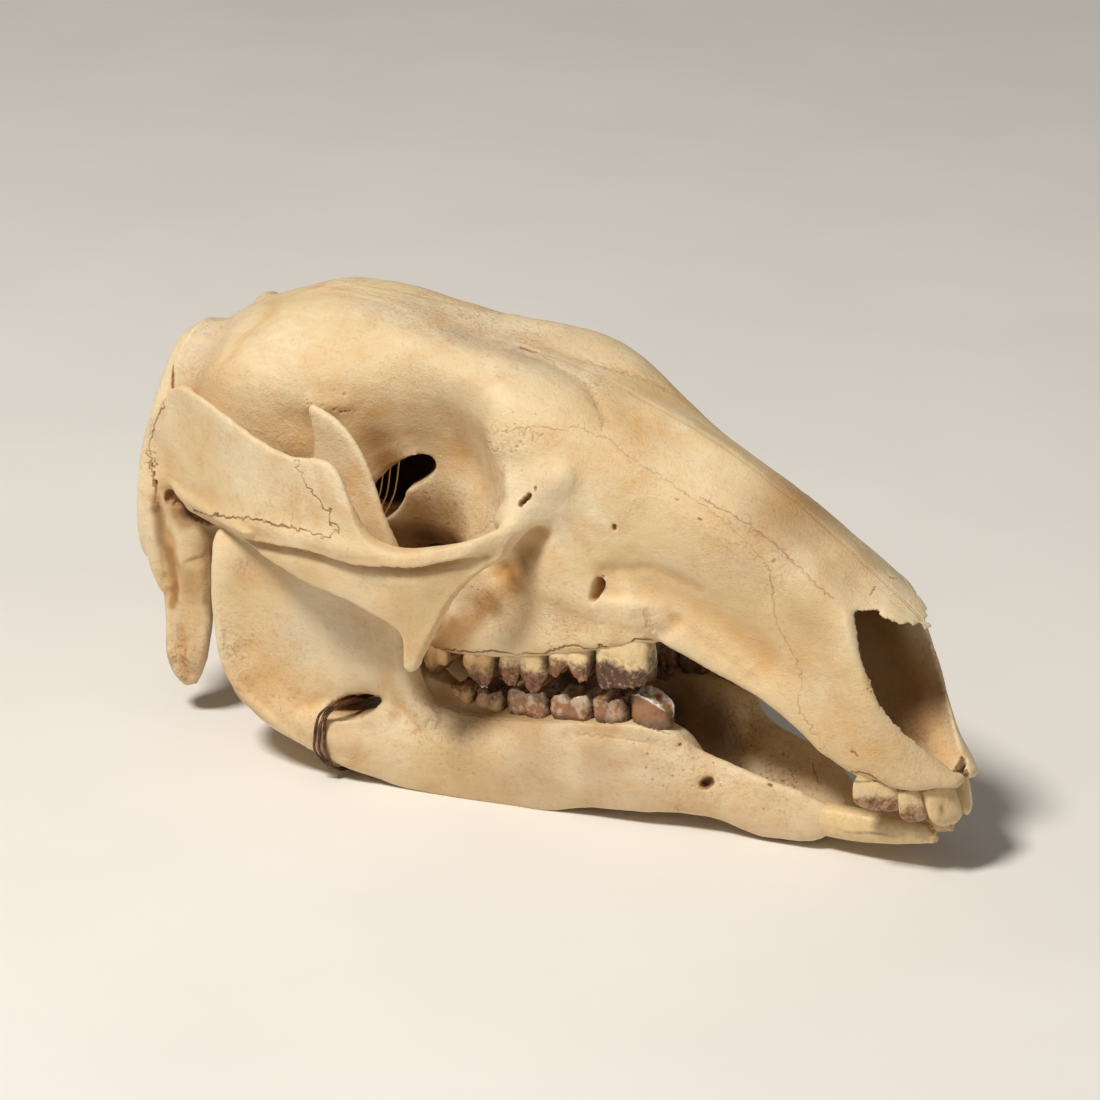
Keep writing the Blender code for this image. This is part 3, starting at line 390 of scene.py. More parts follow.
def skull_body(group):
    def shape(_, top, *sides):
        right = [(-sides[i], sides[i + 1]) for i in range(0, 8, 2)]
        left = [(-y, z) for y, z in reversed(right)]
        return spline([(0, top)] + right + [(0, sides[8])] + left, RING_POINTS, True)

    item = table_loft("body", BODY_SECTIONS, shape, group)

    def rule(p):
        rear = np.clip((INION_X - p[:, 0]) / INION_X_FADE, 0, 1)
        high = np.clip((p[:, 2] - INION_Z) / INION_Z_FADE, 0, 1)
        out = p.copy()
        out[:, 0] += INION_FORWARD * rear * high * np.exp(-(p[:, 1] / INION_HALF) ** 2)
        return out

    bend(item, rule)
    return item


def nasal_roof(group):
    side = np.linspace(-1, 1, 31)

    def shape(_, top, half, drop, thick):
        upper = [(half * s, top - drop * abs(s) ** NASAL_ROUND) for s in side]
        lower = [(half * s * 0.97, top - thick - drop * abs(s) ** NASAL_ROUND) for s in reversed(side)]
        return np.array(upper + lower)

    return table_loft("nasals", NASAL_SECTIONS, shape, group)


def nose_hollow(group):
    angles = turns(60)

    def shape(_, top, half, bottom):
        middle = 0.5 * (top + bottom)
        tall = 0.5 * (top - bottom)
        return np.column_stack([half * squared(np.cos(angles), NOSE_POWER),
                                middle + tall * squared(np.sin(angles), NOSE_POWER)])

    return table_loft("nose_hollow", NOSE_SECTIONS, shape, group)


def tube(name, path, group, flat=1.0):
    """Tapering rod through points (x, y, z, radius); flat scales it along Y."""
    nodes = spline(path, 5 * len(path), False)
    angles = turns(TUBE_SIDES)
    rings = []
    for i, row in enumerate(nodes):
        ahead = nodes[min(i + 1, len(nodes) - 1)][:3] - nodes[max(i - 1, 0)][:3]
        ahead /= np.linalg.norm(ahead)
        side = np.cross(ahead, (0.0, 1.0, 0.0))
        if np.linalg.norm(side) < 0.3:
            side = np.cross(ahead, (0.0, 0.0, 1.0))
        side /= np.linalg.norm(side)
        other = np.cross(ahead, side)
        ring = np.outer(np.cos(angles), side) + flat * np.outer(np.sin(angles), other)
        rings.append(row[:3] + row[3] * ring)
    return loft(name, rings, group)


def lump(name, values, group, turn=0.0):
    x, y, z, half_x, half_y, half_z = values[:6]
    bpy.ops.mesh.primitive_uv_sphere_add(segments=64, ring_count=40, radius=MM,
                                         location=(x * MM, y * MM, z * MM))
    item = bpy.context.object
    item.name = name
    item.scale = (half_x, half_y, half_z)
    item.rotation_euler = (0.0, math.radians(turn), 0.0)
    bpy.ops.object.transform_apply(location=True, rotation=True, scale=True)
    for owner in list(item.users_collection):
        owner.objects.unlink(item)
    group.objects.link(item)
    return item


def apply_modifiers(item):
    graph = bpy.context.evaluated_depsgraph_get()
    mesh = bpy.data.meshes.new_from_object(item.evaluated_get(graph), depsgraph=graph)
    old = item.data
    item.modifiers.clear()
    item.data = mesh
    bpy.data.meshes.remove(old)


def remesh(item, voxel, smooth_steps):
    grid = item.modifiers.new("grid", "REMESH")
    grid.mode = "VOXEL"
    grid.voxel_size = voxel * MM
    if smooth_steps:
        soft = item.modifiers.new("soft", "SMOOTH")
        soft.factor = 0.5
        soft.iterations = smooth_steps
    apply_modifiers(item)


def bend(item, rule):
    """Move each point of a mesh by a rule on its x, y and z in millimetres."""
    mesh = item.data
    flat = np.empty(len(mesh.vertices) * 3)
    mesh.vertices.foreach_get("co", flat)
    points = flat.reshape(-1, 3) / MM
    mesh.vertices.foreach_set("co", (rule(points) * MM).ravel())
    mesh.update()


def plate(name, outline, group):
    """Flat plate in the XZ plane with a smooth outline, as an even mesh that can be bent."""
    curve = bpy.data.curves.new(name, "CURVE")
    curve.dimensions = "2D"
    curve.fill_mode = "BOTH"
    curve.extrude = PLATE_HALF * MM
    line = curve.splines.new("POLY")
    points = spline(outline, 6 * len(outline), True)
    line.points.add(len(points) - 1)
    for target, (x, z) in zip(line.points, points):
        target.co = (x * MM, z * MM, 0.0, 1.0)
    line.use_cyclic_u = True
    flat = bpy.data.objects.new(name + "_flat", curve)
    group.objects.link(flat)
    graph = bpy.context.evaluated_depsgraph_get()
    mesh = bpy.data.meshes.new_from_object(flat.evaluated_get(graph), depsgraph=graph)
    bpy.data.objects.remove(flat, do_unlink=True)
    body = bmesh.new()
    body.from_mesh(mesh)
    bmesh.ops.remove_doubles(body, verts=body.verts, dist=1e-6)
    for vert in body.verts:
        vert.co = Vector((vert.co.x, -vert.co.z, vert.co.y))
    bmesh.ops.recalc_face_normals(body, faces=body.faces)
    body.to_mesh(mesh)
    body.free()
    item = bpy.data.objects.new(name, mesh)
    group.objects.link(item)
    remesh(item, PLATE_VOXEL, PLATE_STEPS)
    return item


def near_line(points, path):
    """Distance in the XZ plane from each point to a line of (x, z) points."""
    best = np.full(len(points), 1e9)
    flat = points[:, [0, 2]]
    for a, b in zip(path[:-1], path[1:]):
        a = np.array(a, float)
        b = np.array(b, float)
        t = np.clip(((flat - a) @ (b - a)) / ((b - a) @ (b - a)), 0, 1)
        best = np.minimum(best, np.linalg.norm(flat - a - t[:, None] * (b - a), axis=1))
    return best


def cheek_arch(group):
    item = plate("arch", ARCH_OUTLINE, group)

    def rule(p):
        middle = -column(ARCH_WIDTH, 1, p[:, 0])
        ridge = np.exp(-(near_line(p, ARCH_RIDGE) / ARCH_RIDGE_REACH) ** 2)
        lower = np.clip((ARCH_LOWER_Z - p[:, 2]) / ARCH_LOWER_FADE, 0, 1)
        thin = np.exp(-(near_line(p, ARCH_OUTLINE[2:9]) / ARCH_TOP_REACH) ** 2)
        half = (ARCH_HALF + ARCH_RIDGE_HALF * ridge) * (1 - ARCH_TOP_THINNING * thin)
        out = p.copy()
        out[:, 1] = middle + half + ARCH_LOWER_INSET * lower + p[:, 1] / PLATE_HALF * half
        out[:, 1] -= ARCH_RIDGE_OUT * ridge
        return out

    bend(item, rule)
    return item


def shelf(group):
    """Bone over the jaw joint, from the braincase out to the arch."""
    def shape(x, bottom, top):
        outer = float(column(ARCH_WIDTH, 1, x)) - 0.4
        return spline([(-SHELF_INNER_Y, bottom), (-SHELF_INNER_Y, top), (-outer, top - 0.6),
                       (-outer, bottom + 0.6)], 40, True)

    return table_loft("shelf", SHELF, shape, group)


def tooth_bone(group):
    def shape(_, y, half, top, bottom):
        middle = 0.5 * (top + bottom)
        return spline([(-y - half, bottom + 1.2), (-y, bottom), (-y + half, bottom + 1.2),
                       (-y + half, middle), (-y + half, top), (-y - half, top),
                       (-y - half, middle)], 60, True)

    return table_loft("tooth_bone", TOOTH_BONE, shape, group)


def mirrored(item, group):
    copy = bpy.data.objects.new(item.name + "_left", item.data.copy())
    group.objects.link(copy)
    body = bmesh.new()
    body.from_mesh(copy.data)
    for vert in body.verts:
        vert.co.y = -vert.co.y
    bmesh.ops.reverse_faces(body, faces=body.faces)
    body.to_mesh(copy.data)
    body.free()
    return copy


def keep_largest(item):
    """Leave only the largest closed surface of a mesh."""
    body = bmesh.new()
    body.from_mesh(item.data)
    left = set(body.verts)
    islands = []
    while left:
        seed = left.pop()
        island = {seed}
        edge = [seed]
        while edge:
            vert = edge.pop()
            for link in vert.link_edges:
                other = link.other_vert(vert)
                if other in left:
                    left.discard(other)
                    island.add(other)
                    edge.append(other)
        islands.append(island)
    islands.sort(key=len, reverse=True)
    for island in islands[1:]:
        bmesh.ops.delete(body, geom=list(island), context="VERTS")
    body.to_mesh(item.data)
    body.free()


def combine(base, group, operation):
    """One Boolean of the base with every object of a collection, which is then emptied."""
    step = base.modifiers.new(operation.lower(), "BOOLEAN")
    step.operation = operation
    step.operand_type = "COLLECTION"
    step.collection = group
    step.solver = "MANIFOLD"
    apply_modifiers(base)
    for item in list(group.objects):
        bpy.data.objects.remove(item, do_unlink=True)


def new_collection(name):
    group = bpy.data.collections.new(name)
    bpy.context.scene.collection.children.link(group)
    return group


def jaw_body(group):
    def shape(_, outer, ridge, inner, ridge_z, inner_z, bottom):
        half = (outer - inner) / 2
        outline = spline([(-outer + half * 0.42, bottom), (-inner - half * 0.5, bottom),
                          (-inner, bottom + 0.3 * (inner_z - bottom)),
                          (-inner - half * 0.06, bottom + 0.72 * (inner_z - bottom)),
                          (-inner - half * 0.4, inner_z), (-ridge + half * 0.1, ridge_z),
                          (-ridge - half * 0.16, ridge_z - 0.2),
                          (-outer + half * 0.05, bottom + 0.72 * (ridge_z - bottom)),
                          (-outer, bottom + 0.3 * (ridge_z - bottom))], JAW_RING_POINTS, True)
        outline[:, 1] = np.maximum(outline[:, 1], bottom)
        return outline

    return table_loft("jaw_body", JAW_SECTIONS, shape, group)


def jaw_angle(group):
    def shape(_, outer, inner, middle, thick):
        half = thick / 2
        return spline([(-outer, middle), (-outer + thick, middle - half), (-inner - thick, middle - half),
                       (-inner, middle - half * 0.5), (-inner - 0.3, middle + half * 0.6),
                       (-inner - thick, middle + half), (-outer + thick, middle + half)], 40, True)

    return table_loft("angle", ANGLE_SECTIONS, shape, group)


def jaw_ramus(group):
    item = plate("ramus", RAMUS_OUTLINE, group)

    def rule(p):
        outer = column(RAMUS_OUTER, 1, p[:, 0])
        rise = np.clip((p[:, 2] - CORONOID_Z) / CORONOID_FADE, 0, 1)
        rise = rise * rise * (3 - 2 * rise)
        rear = np.exp(-(near_line(p, REAR_RIM) / REAR_RIM_REACH) ** 2)
        front = np.exp(-(near_line(p, FRONT_RIM) / FRONT_RIM_REACH) ** 2) * (1 - rise)
        rim = np.maximum(rear, FRONT_RIM_SHARE * front)
        half = FOSSA_HALF + (RIM_HALF - FOSSA_HALF) * rim
        edge = np.exp(-(near_line(p, RAMUS_OUTLINE[4:13]) / CORONOID_EDGE_REACH) ** 2)
        half = half * (1 - CORONOID_EDGE_THINNING * rise * edge)
        surface = (outer - FOSSA_DEPTH * (1 - rim)) * (1 - rise) + (CORONOID_Y + FOSSA_HALF) * rise
        out = p.copy()
        out[:, 1] = -(surface - half) + p[:, 1] / PLATE_HALF * half
        return out

    bend(item, rule)
    return item


# Fine meshes as arrays: points in millimetres and triangles.


def to_arrays(item):
    mesh = item.data
    mesh.calc_loop_triangles()
    flat = np.empty(len(mesh.vertices) * 3)
    mesh.vertices.foreach_get("co", flat)
    tris = np.empty(len(mesh.loop_triangles) * 3, np.int64)
    mesh.loop_triangles.foreach_get("vertices", tris)
    return flat.reshape(-1, 3) / MM, tris.reshape(-1, 3)


def point_normals(points, tris):
    face = np.cross(points[tris[:, 1]] - points[tris[:, 0]], points[tris[:, 2]] - points[tris[:, 0]])
    total = np.zeros_like(points)
    for corner in range(3):
        for axis in range(3):
            total[:, axis] += np.bincount(tris[:, corner], face[:, axis], len(points))
    return total / np.maximum(np.linalg.norm(total, axis=1), 1e-12)[:, None]


def all_edges(points, tris):
    pairs = np.sort(tris[:, [0, 1, 1, 2, 2, 0]].reshape(-1, 2), axis=1)
    keys, index = np.unique(pairs[:, 0] * len(points) + pairs[:, 1], return_inverse=True)
    return keys // len(points), keys % len(points), index.reshape(-1, 3)


def relaxed(points, edges, rounds, factor=0.5):
    """Points moved towards the mean of their neighbours, a number of times."""
    a, b = edges
    count = np.bincount(a, minlength=len(points)) + np.bincount(b, minlength=len(points))
    out = points.copy()
    for _ in range(rounds):
        for axis in range(3):
            value = out[:, axis]
            total = np.bincount(a, value[b], len(points)) + np.bincount(b, value[a], len(points))
            out[:, axis] = value + factor * (total / np.maximum(count, 1) - value)
    return out


def refine(points, tris, near):
    """Split the edges of the triangles that touch a marked point, with no gaps at the border."""
    a, b, index = all_edges(points, tris)
    split = np.zeros(len(a), bool)
    split[index[near[tris].any(axis=1)].ravel()] = True
    fresh = np.full(len(a), -1)
    fresh[split] = len(points) + np.arange(split.sum())
    points = np.vstack([points, 0.5 * (points[a[split]] + points[b[split]])])
    middle = fresh[index]
    count = (middle >= 0).sum(axis=1)
    out = [tris[count == 0]]
    t = tris[count == 3]
    m = middle[count == 3]
    out += [np.c_[t[:, 0], m[:, 0], m[:, 2]], np.c_[t[:, 1], m[:, 1], m[:, 0]],
            np.c_[t[:, 2], m[:, 2], m[:, 1]], m]
    for k in range(3):
        n, last = (k + 1) % 3, (k + 2) % 3
        one = (count == 1) & (middle[:, k] >= 0)
        t = tris[one]
        m = middle[one, k]
        out += [np.c_[t[:, k], m, t[:, last]], np.c_[m, t[:, n], t[:, last]]]
        two = (count == 2) & (middle[:, k] < 0)
        t = tris[two]
        first, second = middle[two, n], middle[two, last]
        out += [np.c_[t[:, k], t[:, n], first], np.c_[t[:, k], first, second],
                np.c_[second, first, t[:, last]]]
    return points, np.vstack(out)


def lattice_noise(points, size, seed):
    """Smooth noise from -1 to 1 with the given grain, the same for the same seed."""
    table = np.random.default_rng(SEED + seed).random((32, 32, 32)) * 2 - 1
    scaled = points / size
    cell = np.floor(scaled).astype(int)
    part = scaled - cell
    part = part * part * (3 - 2 * part)
    total = np.zeros(len(points))
    for corner in range(8):
        shift = [(corner >> axis) & 1 for axis in range(3)]
        weight = np.ones(len(points))
        for axis in range(3):
            weight = weight * (part[:, axis] if shift[axis] else 1 - part[:, axis])
        i, j, k = [(cell[:, axis] + shift[axis]) % 32 for axis in range(3)]
        total += weight * table[i, j, k]
    return total


def folded(points):
    """Both sides of the skull laid over its right side."""
    return np.column_stack([points[:, 0], -np.abs(points[:, 1]), points[:, 2]])


class Surface:
    """A fine mesh with its named values for each point."""

    def __init__(self, item):
        self.points, self.tris = to_arrays(item)
        bpy.data.objects.remove(item, do_unlink=True)
        self.values = {}
        self.index()

    def index(self):
        self.fold = folded(self.points)
        self.order = np.argsort(self.fold[:, 0])
        self.sorted_x = self.fold[self.order, 0]
        self.tree = None

    def nearest(self, point):
        """The point of the surface that is nearest to a place on its right side."""
        if self.tree is None:
            self.tree = KDTree(len(self.fold))
            for number, spot in enumerate(self.fold):
                self.tree.insert(spot, number)
            self.tree.balance()
        return np.array(self.tree.find(point)[0])

    def snap(self, path, gap=0.5):
        """A smooth line through the path's points, laid on the surface."""
        rough = np.array(path, float)
        length = np.linalg.norm(np.diff(rough, axis=0), axis=1).sum()
        line = spline(rough, max(int(length / gap), 2 * len(rough)), False)
        return np.array([self.nearest(point) for point in line])

    def distance(self, line, reach):
        return self.offsets(line, reach)[0]

    def offsets(self, line, reach):
        """How far each point is from a line, up to a reach, and the step to it from the line."""
        best = np.full(len(self.points), 1e3)
        step = np.zeros((len(self.points), 3))
        for a, b in zip(line[:-1], line[1:]):
            low, high = sorted((a[0], b[0]))
            start, end = np.searchsorted(self.sorted_x, (low - reach, high + reach))
            rows = self.order[start:end]
            near = self.fold[rows]
            inside = (np.abs(near[:, 1] - (a[1] + b[1]) / 2) < reach + abs(a[1] - b[1]) / 2) & (
                np.abs(near[:, 2] - (a[2] + b[2]) / 2) < reach + abs(a[2] - b[2]) / 2)
            rows = rows[inside]
            near = near[inside]
            span = b - a
            t = np.clip((near - a) @ span / max(span @ span, 1e-9), 0, 1)
            away = near - a - t[:, None] * span
            far = np.linalg.norm(away, axis=1)
            closer = far < best[rows]
            best[rows[closer]] = far[closer]
            step[rows[closer]] = away[closer]
        return best, step

    def refine(self, near):
        self.points, self.tris = refine(self.points, self.tris, near)
        self.index()

    def push(self, amount):
        """Move each point along the surface's normal."""
        self.points = self.points + point_normals(self.points, self.tris) * amount[:, None]

    def melt(self, spots):
        """Soften the surface round some places, each with its radius and number of rounds."""
        a, b, _ = all_edges(self.points, self.tris)
        for centre, radius, rounds in spots:
            away = np.linalg.norm(self.fold - np.array(centre), axis=1)
            near = away < 2.2 * radius
            number = np.cumsum(near) - 1
            inside = near[a] & near[b]
            soft = relaxed(self.points[near], (number[a[inside]], number[b[inside]]), rounds)
            weight = np.exp(-(away[near] / radius) ** 2)[:, None]
            self.points[near] += weight * (soft - self.points[near])

    def mark(self, name, amount):
        old = self.values.get(name, np.zeros(len(self.points)))
        self.values[name] = np.maximum(old, amount)

    def hollows(self, rounds):
        """Above zero in hollows and below zero on ridges, in millimetres."""
        a, b, _ = all_edges(self.points, self.tris)
        soft = relaxed(self.points, (a, b), rounds)
        return ((soft - self.points) * point_normals(self.points, self.tris)).sum(axis=1)


# Places where pieces of bone flow into each other: centre, radius, rounds of softening.
MELTS = [
    ((71, -23, 50.5), 4, 60), ((75, -20, 52), 5, 200), ((78.6, -18.4, 52), 4, 200),
    ((73, -18.6, 57.6), 5, 150), ((41, -6.6, 72.6), 5, 120), ((47, -9.6, 71.8), 5, 150),
    ((53, -12, 71), 5, 150), ((59, -13.4, 70.2), 5, 100),
]

# Soft hollows (depth above 0) and swellings (below 0) along lines: path, radius, depth.
SOFT_FORMS = [
    # groove under the root of the cheek arch
    ([(66, -18.7, 37.5), (69.5, -19, 41), (72.6, -19.6, 44.6), (75, -19.8, 47)], 1.8, 0.9),
    ([(60, -18.6, 30), (62.4, -18.6, 34.6), (66, -18.7, 38.6)], 2.2, 0.8),
    # hollow that runs forward from the infraorbital hole along the snout
    ([(86.5, -15, 40), (94, -13, 39.6), (102, -11.4, 36), (111, -10.4, 30.5)], 3.4, 1),
    ([(84.8, -16, 41.8), (92, -13.6, 42.8), (100, -11.8, 40.6)], 1, 0.35),
    # pale rim along the toothless gap, and ribs above it
    ([(95.5, -13.2, 31.8), (104, -11.4, 27.4), (113, -10.6, 23.2), (122, -10.3, 18.4)], 1.6, -0.5),
    ([(95, -13.2, 36), (103, -11.4, 31.4), (111, -10.6, 26.8)], 0.9, 0.25),
    ([(88.6, -15.4, 39), (89.4, -15.6, 34.6)], 1.7, -0.45),
    # hollow between the front root and the snout's rim
    ([(96.6, -13.6, 35), (95.2, -14.4, 33)], 1.4, 0.7),
    # channel on each side of the nasal seam
    ([(82, -4.6, 64.6), (98, -4.4, 59.6), (112, -4.2, 53.2), (124, -4, 46)], 2.6, 0.35),
    # edge where the flat brow meets the side of the nasal bones
    ([(60, -2.4, 70), (68.4, -3.2, 68.9), (74.9, -5.4, 67.1), (80, -8.6, 64.9)], 1.2, 0.3),
    ([(60, -8.5, 70.6), (67, -9, 69.3), (73, -10, 67.2)], 4, -0.6),
    # hollow of the brow between the orbits
    ([(50, 0, 70.4), (58, 0, 70)], 6, 0.5),
    # temporal hollow in front of the braincase and over the orbit
    ([(37, -13, 58), (42, -9.5, 54)], 5, 0.8),
    ([(50, -10.6, 60), (55, -11.5, 52)], 4, 0.6),
    # rough hump behind the coronoid process
    ([(30, -19.6, 60), (35, -17.6, 60.6)], 1.6, -0.5),
    ([(26, -20.2, 57), (32, -18.8, 56)], 2.6, 0.5),
    # lacrimal bone at the front rim of the orbit
    ([(66, -18.2, 60.6), (70.5, -18.6, 60.2)], 2.4, -0.4),
    ([(68.4, -19.6, 56.6), (69.6, -20.6, 53.6)], 1.4, -0.5),
    # crest across the back of the skull, with a hollow in front of it
    ([(1, -3, 66.6), (3, -10, 65.8), (4, -15, 61), (4, -18.6, 56.4)], 2.6, 0.7),
    # notch in the crest beside the middle
    ([(0.6, -4, 67), (0.4, -6.6, 66.8)], 1.4, 0.8),
    # ear opening behind the arch's root
    ([(0.6, -22, 38.6), (2.4, -21.6, 36.6), (5, -21.2, 34.8), (8.4, -20, 32.8)], 1.6, 1),
    # hollow between the rim of the mastoid and the process beside the neck
    ([(-1.2, -22, 35), (-0.4, -21.9, 32), (0.6, -21.6, 29), (0.9, -21.4, 24), (0.4, -21.2, 19.8)],
     1.3, 0.9),
    ([(-2.6, -21.8, 36), (-2.2, -21.8, 30), (-1.2, -21.4, 24)], 0.8, -0.4),
    ([(4.4, -21, 24), (3.4, -21.2, 19), (2.6, -21.2, 12)], 2, 0.7),
    ([(6.6, -19.4, 16), (5, -20, 9)], 1.3, -0.4),
    ([(-0.6, -21, 17), (-0.8, -21, 9)], 0.9, -0.4),
    ([(0.6, -20.6, 6.4), (1.2, -20.4, 5)], 0.9, -0.5),
    ([(2.6, -20.6, 8.4), (3, -20.4, 6)], 0.9, 0.5),
    ([(0, -20.9, 10.4), (0.3, -20.9, 8.8)], 0.8, -0.5),
    ([(3.6, -20.6, 11.6), (3.6, -20.5, 9.6)], 0.8, -0.45),
    ([(1.6, -21.2, 14), (2.2, -21.2, 10.8)], 0.7, 0.35),
    # hollow cheek plate and the swelling of its lower ridge
    ([(8, -26, 52), (22, -32, 51), (36, -36.6, 51)], 5, 0.35),
    ([(44, -37.4, 40.6), (54, -37, 38.6)], 2.6, 0.5),
    # midline and side hollows of the underside
    ([(30, 0, 27.4), (10, 0, 27.4)], 1, -0.5),
    ([(90, 0, 31.6), (110, 0, 25.6), (122, 0, 19)], 3.2, 1.1),
]

# Thin seams: path, half width, depth, stain, wobble from side to side.
SEAMS = {
    "nasal": ([(61, 0, 69.9), (74.8, 0, 67.5), (86.7, 0, 64.1), (97.8, 0, 60.2), (107.7, 0, 55.9),
               (116.2, 0, 51.4), (125.7, 0, 45.4), (134.6, 0, 39.4)], 0.13, 0.2, 0.35, 0.04),
    "brow": ([(61, -0.6, 69.8), (68.4, -2.7, 68.9), (71.8, -3.4, 68.2), (74.9, -5.1, 67.3), (78, -7.4, 66),
              (81, -11, 63.2)], 0.2, 0.08, 0.22, 0.3),
    "frontal": ([(71.7, -17.1, 64.1), (75.8, -15.2, 63.6), (78.1, -12.9, 64), (80.4, -12.4, 63),
                 (82.6, -11.4, 62.3), (85.2, -11.3, 60.8), (88.4, -10.9, 59.1), (92.8, -10.3, 57.4),
                 (97.6, -10, 55.3), (102.8, -9.8, 52.7), (110.4, -10.1, 48.3), (112.2, -10.3, 46.4)],
                0.1, 0.1, 0.26, 0.16),
    "premaxilla": ([(112.2, -10.3, 46.4), (113.2, -10.6, 43.3), (113.8, -10.8, 38.4), (116, -10.6, 34.8),
                    (117.6, -10.5, 32.8), (118.8, -10.5, 30), (118.6, -10.5, 28.3), (118.3, -10.8, 25.4),
                    (119.4, -10.9, 23.6), (121.6, -10.9, 21.2), (124, -10.8, 18.7)], 0.1, 0.12, 0.3, 0.24),
    "nasal_side": ([(98.5, -9.2, 55.3), (101.6, -8.8, 54.2), (107.1, -8.3, 52.2), (112.3, -8.2, 49.8),
                    (117.8, -8.5, 46.6), (120.8, -8.7, 44.6), (123.2, -8.5, 43.4)], 0.12, 0.16, 0.34, 0.12),
    "cheek_zigzag": ([(37.8, -35.4, 57.1), (39.3, -36.1, 57), (40, -36.3, 54.8), (41.1, -36.4, 53.9),
                      (42.5, -36.5, 52.5), (43.5, -36.6, 51.4), (45, -36.7, 50.5), (45.8, -36.7, 49.4),
                      (46.2, -36.7, 48.4), (47.6, -36.8, 47.4), (46.3, -36.9, 46.5)], 0.09, 0.2, 0.5, 0.4),
    "cheek_hook": ([(46.3, -36.9, 46.5), (45.4, -37.1, 45.6), (43.9, -37, 45.6), (41.6, -36.7, 45.7),
                    (38.8, -36.5, 45.7), (37.2, -36.3, 45.5)], 0.1, 0.25, 0.6, 0.22),
    "cheek_line": ([(37.2, -36.3, 45.5), (33.6, -35.5, 44.9), (27, -33.5, 43.9), (21.8, -31.6, 42.2),
                    (12.2, -26.9, 39.4), (8.3, -24.6, 38.4)], 0.12, 0.28, 0.68, 0.08),
    "orbit": ([(59.1, -13.7, 57.8), (63, -16, 56.2), (65.5, -17.8, 54), (65.8, -17.6, 50.4),
               (63.4, -16.4, 45.7), (60.2, -15.3, 42.8), (54.4, -11.6, 38.9)], 0.12, 0.1, 0.25, 0.2),
    "lacrimal": ([(63.4, -17.2, 60.6), (65, -18.4, 62.3), (67.1, -18.4, 62.6), (68.8, -18.2, 63.4),
                  (70.3, -18.2, 62.6), (72, -17.6, 63.2), (73.6, -16.8, 63)], 0.13, 0.16, 0.25, 0.7),
    "lacrimal_low": ([(63.2, -17, 59.6), (64.6, -18.4, 59.4), (66.6, -18.8, 58.8), (67.8, -19.2, 57.4)],
                     0.12, 0.14, 0.2, 0.7),
    "rear": ([(0.1, -21.1, 55.6), (-1.2, -21.4, 52.9), (-2.6, -21.2, 50.2), (-3.4, -21.3, 47.2),
              (-3.8, -21.3, 45.3), (-3.1, -21.7, 43.6), (-2.5, -21.9, 42), (-2, -22.1, 40.6)],
             0.13, 0.2, 0.55, 0.3),
    "rear_low": ([(-2, -22.1, 40.6), (-1.8, -22.3, 38), (-1.2, -22.3, 35.6)], 0.16, 0.3, 0.5, 0.12),
    "crest": ([(-2.1, -15.8, 59), (-1.2, -17.6, 56.2)], 0.22, 0.5, 0.7, 0),
    "arch_root": ([(8.3, -24.6, 38.2), (14, -27.2, 37.6), (21, -30.2, 38.2)], 0.14, 0.15, 0.3, 0.1),
    "upper_gum": ([(50.6, -18.4, 21.4), (54.9, -18.6, 22), (58.5, -18.5, 22.6), (60.3, -18.3, 22.9),
                   (65.7, -18.4, 24.3), (69.4, -18, 24.5), (71.2, -18.1, 25.3), (74.1, -17.7, 25.5),
                   (75.8, -17.9, 26.6), (78.3, -17.8, 27.9), (81.1, -17.6, 28.6), (83.5, -17, 28),
                   (85, -17, 29.4), (86.7, -16.4, 29), (89, -16.3, 29.2), (90.6, -16.3, 31),
                   (92.6, -15.9, 31.3), (93.8, -15.4, 30.4)], 0.13, 0.25, 0.6, 0.05),
    "parietal": ([(2, 0, 67.4), (12, 0, 70.8), (22, 0, 73.3), (34, 0, 73.2)], 0.14, 0.1, 0.2, 0.5),
    "palate": ([(60, 0, 30.6), (80, 0, 31.2), (96, 0, 31.4), (112, 0, 24.4), (126, 0, 15.6)],
               0.18, 0.2, 0.5, 0.2),
    "palate_cross": ([(70, 0, 31), (71, -5, 30.9), (74, -9.6, 30.4)], 0.16, 0.15, 0.4, 0.5),
    "premaxilla_under": ([(124, -10.2, 16), (121, -6, 18.6), (119, -2, 20.4)], 0.16, 0.15, 0.35, 0.3),
    "incisor_socket": ([(127.7, -10.7, 14.3), (127.8, -10.8, 15.2), (129.3, -10.7, 15.7), (130, -10.5, 16.3),
                        (131.4, -10.2, 16), (132.5, -9.6, 15), (133.3, -8.8, 13.5), (134.1, -8.2, 12.6)],
                       0.12, 0.15, 0.7, 0.04),
    "base_cross": ([(22, 0, 27.2), (22.4, -4, 28), (22, -7, 29.6)], 0.18, 0.2, 0.45, 0.3),
}

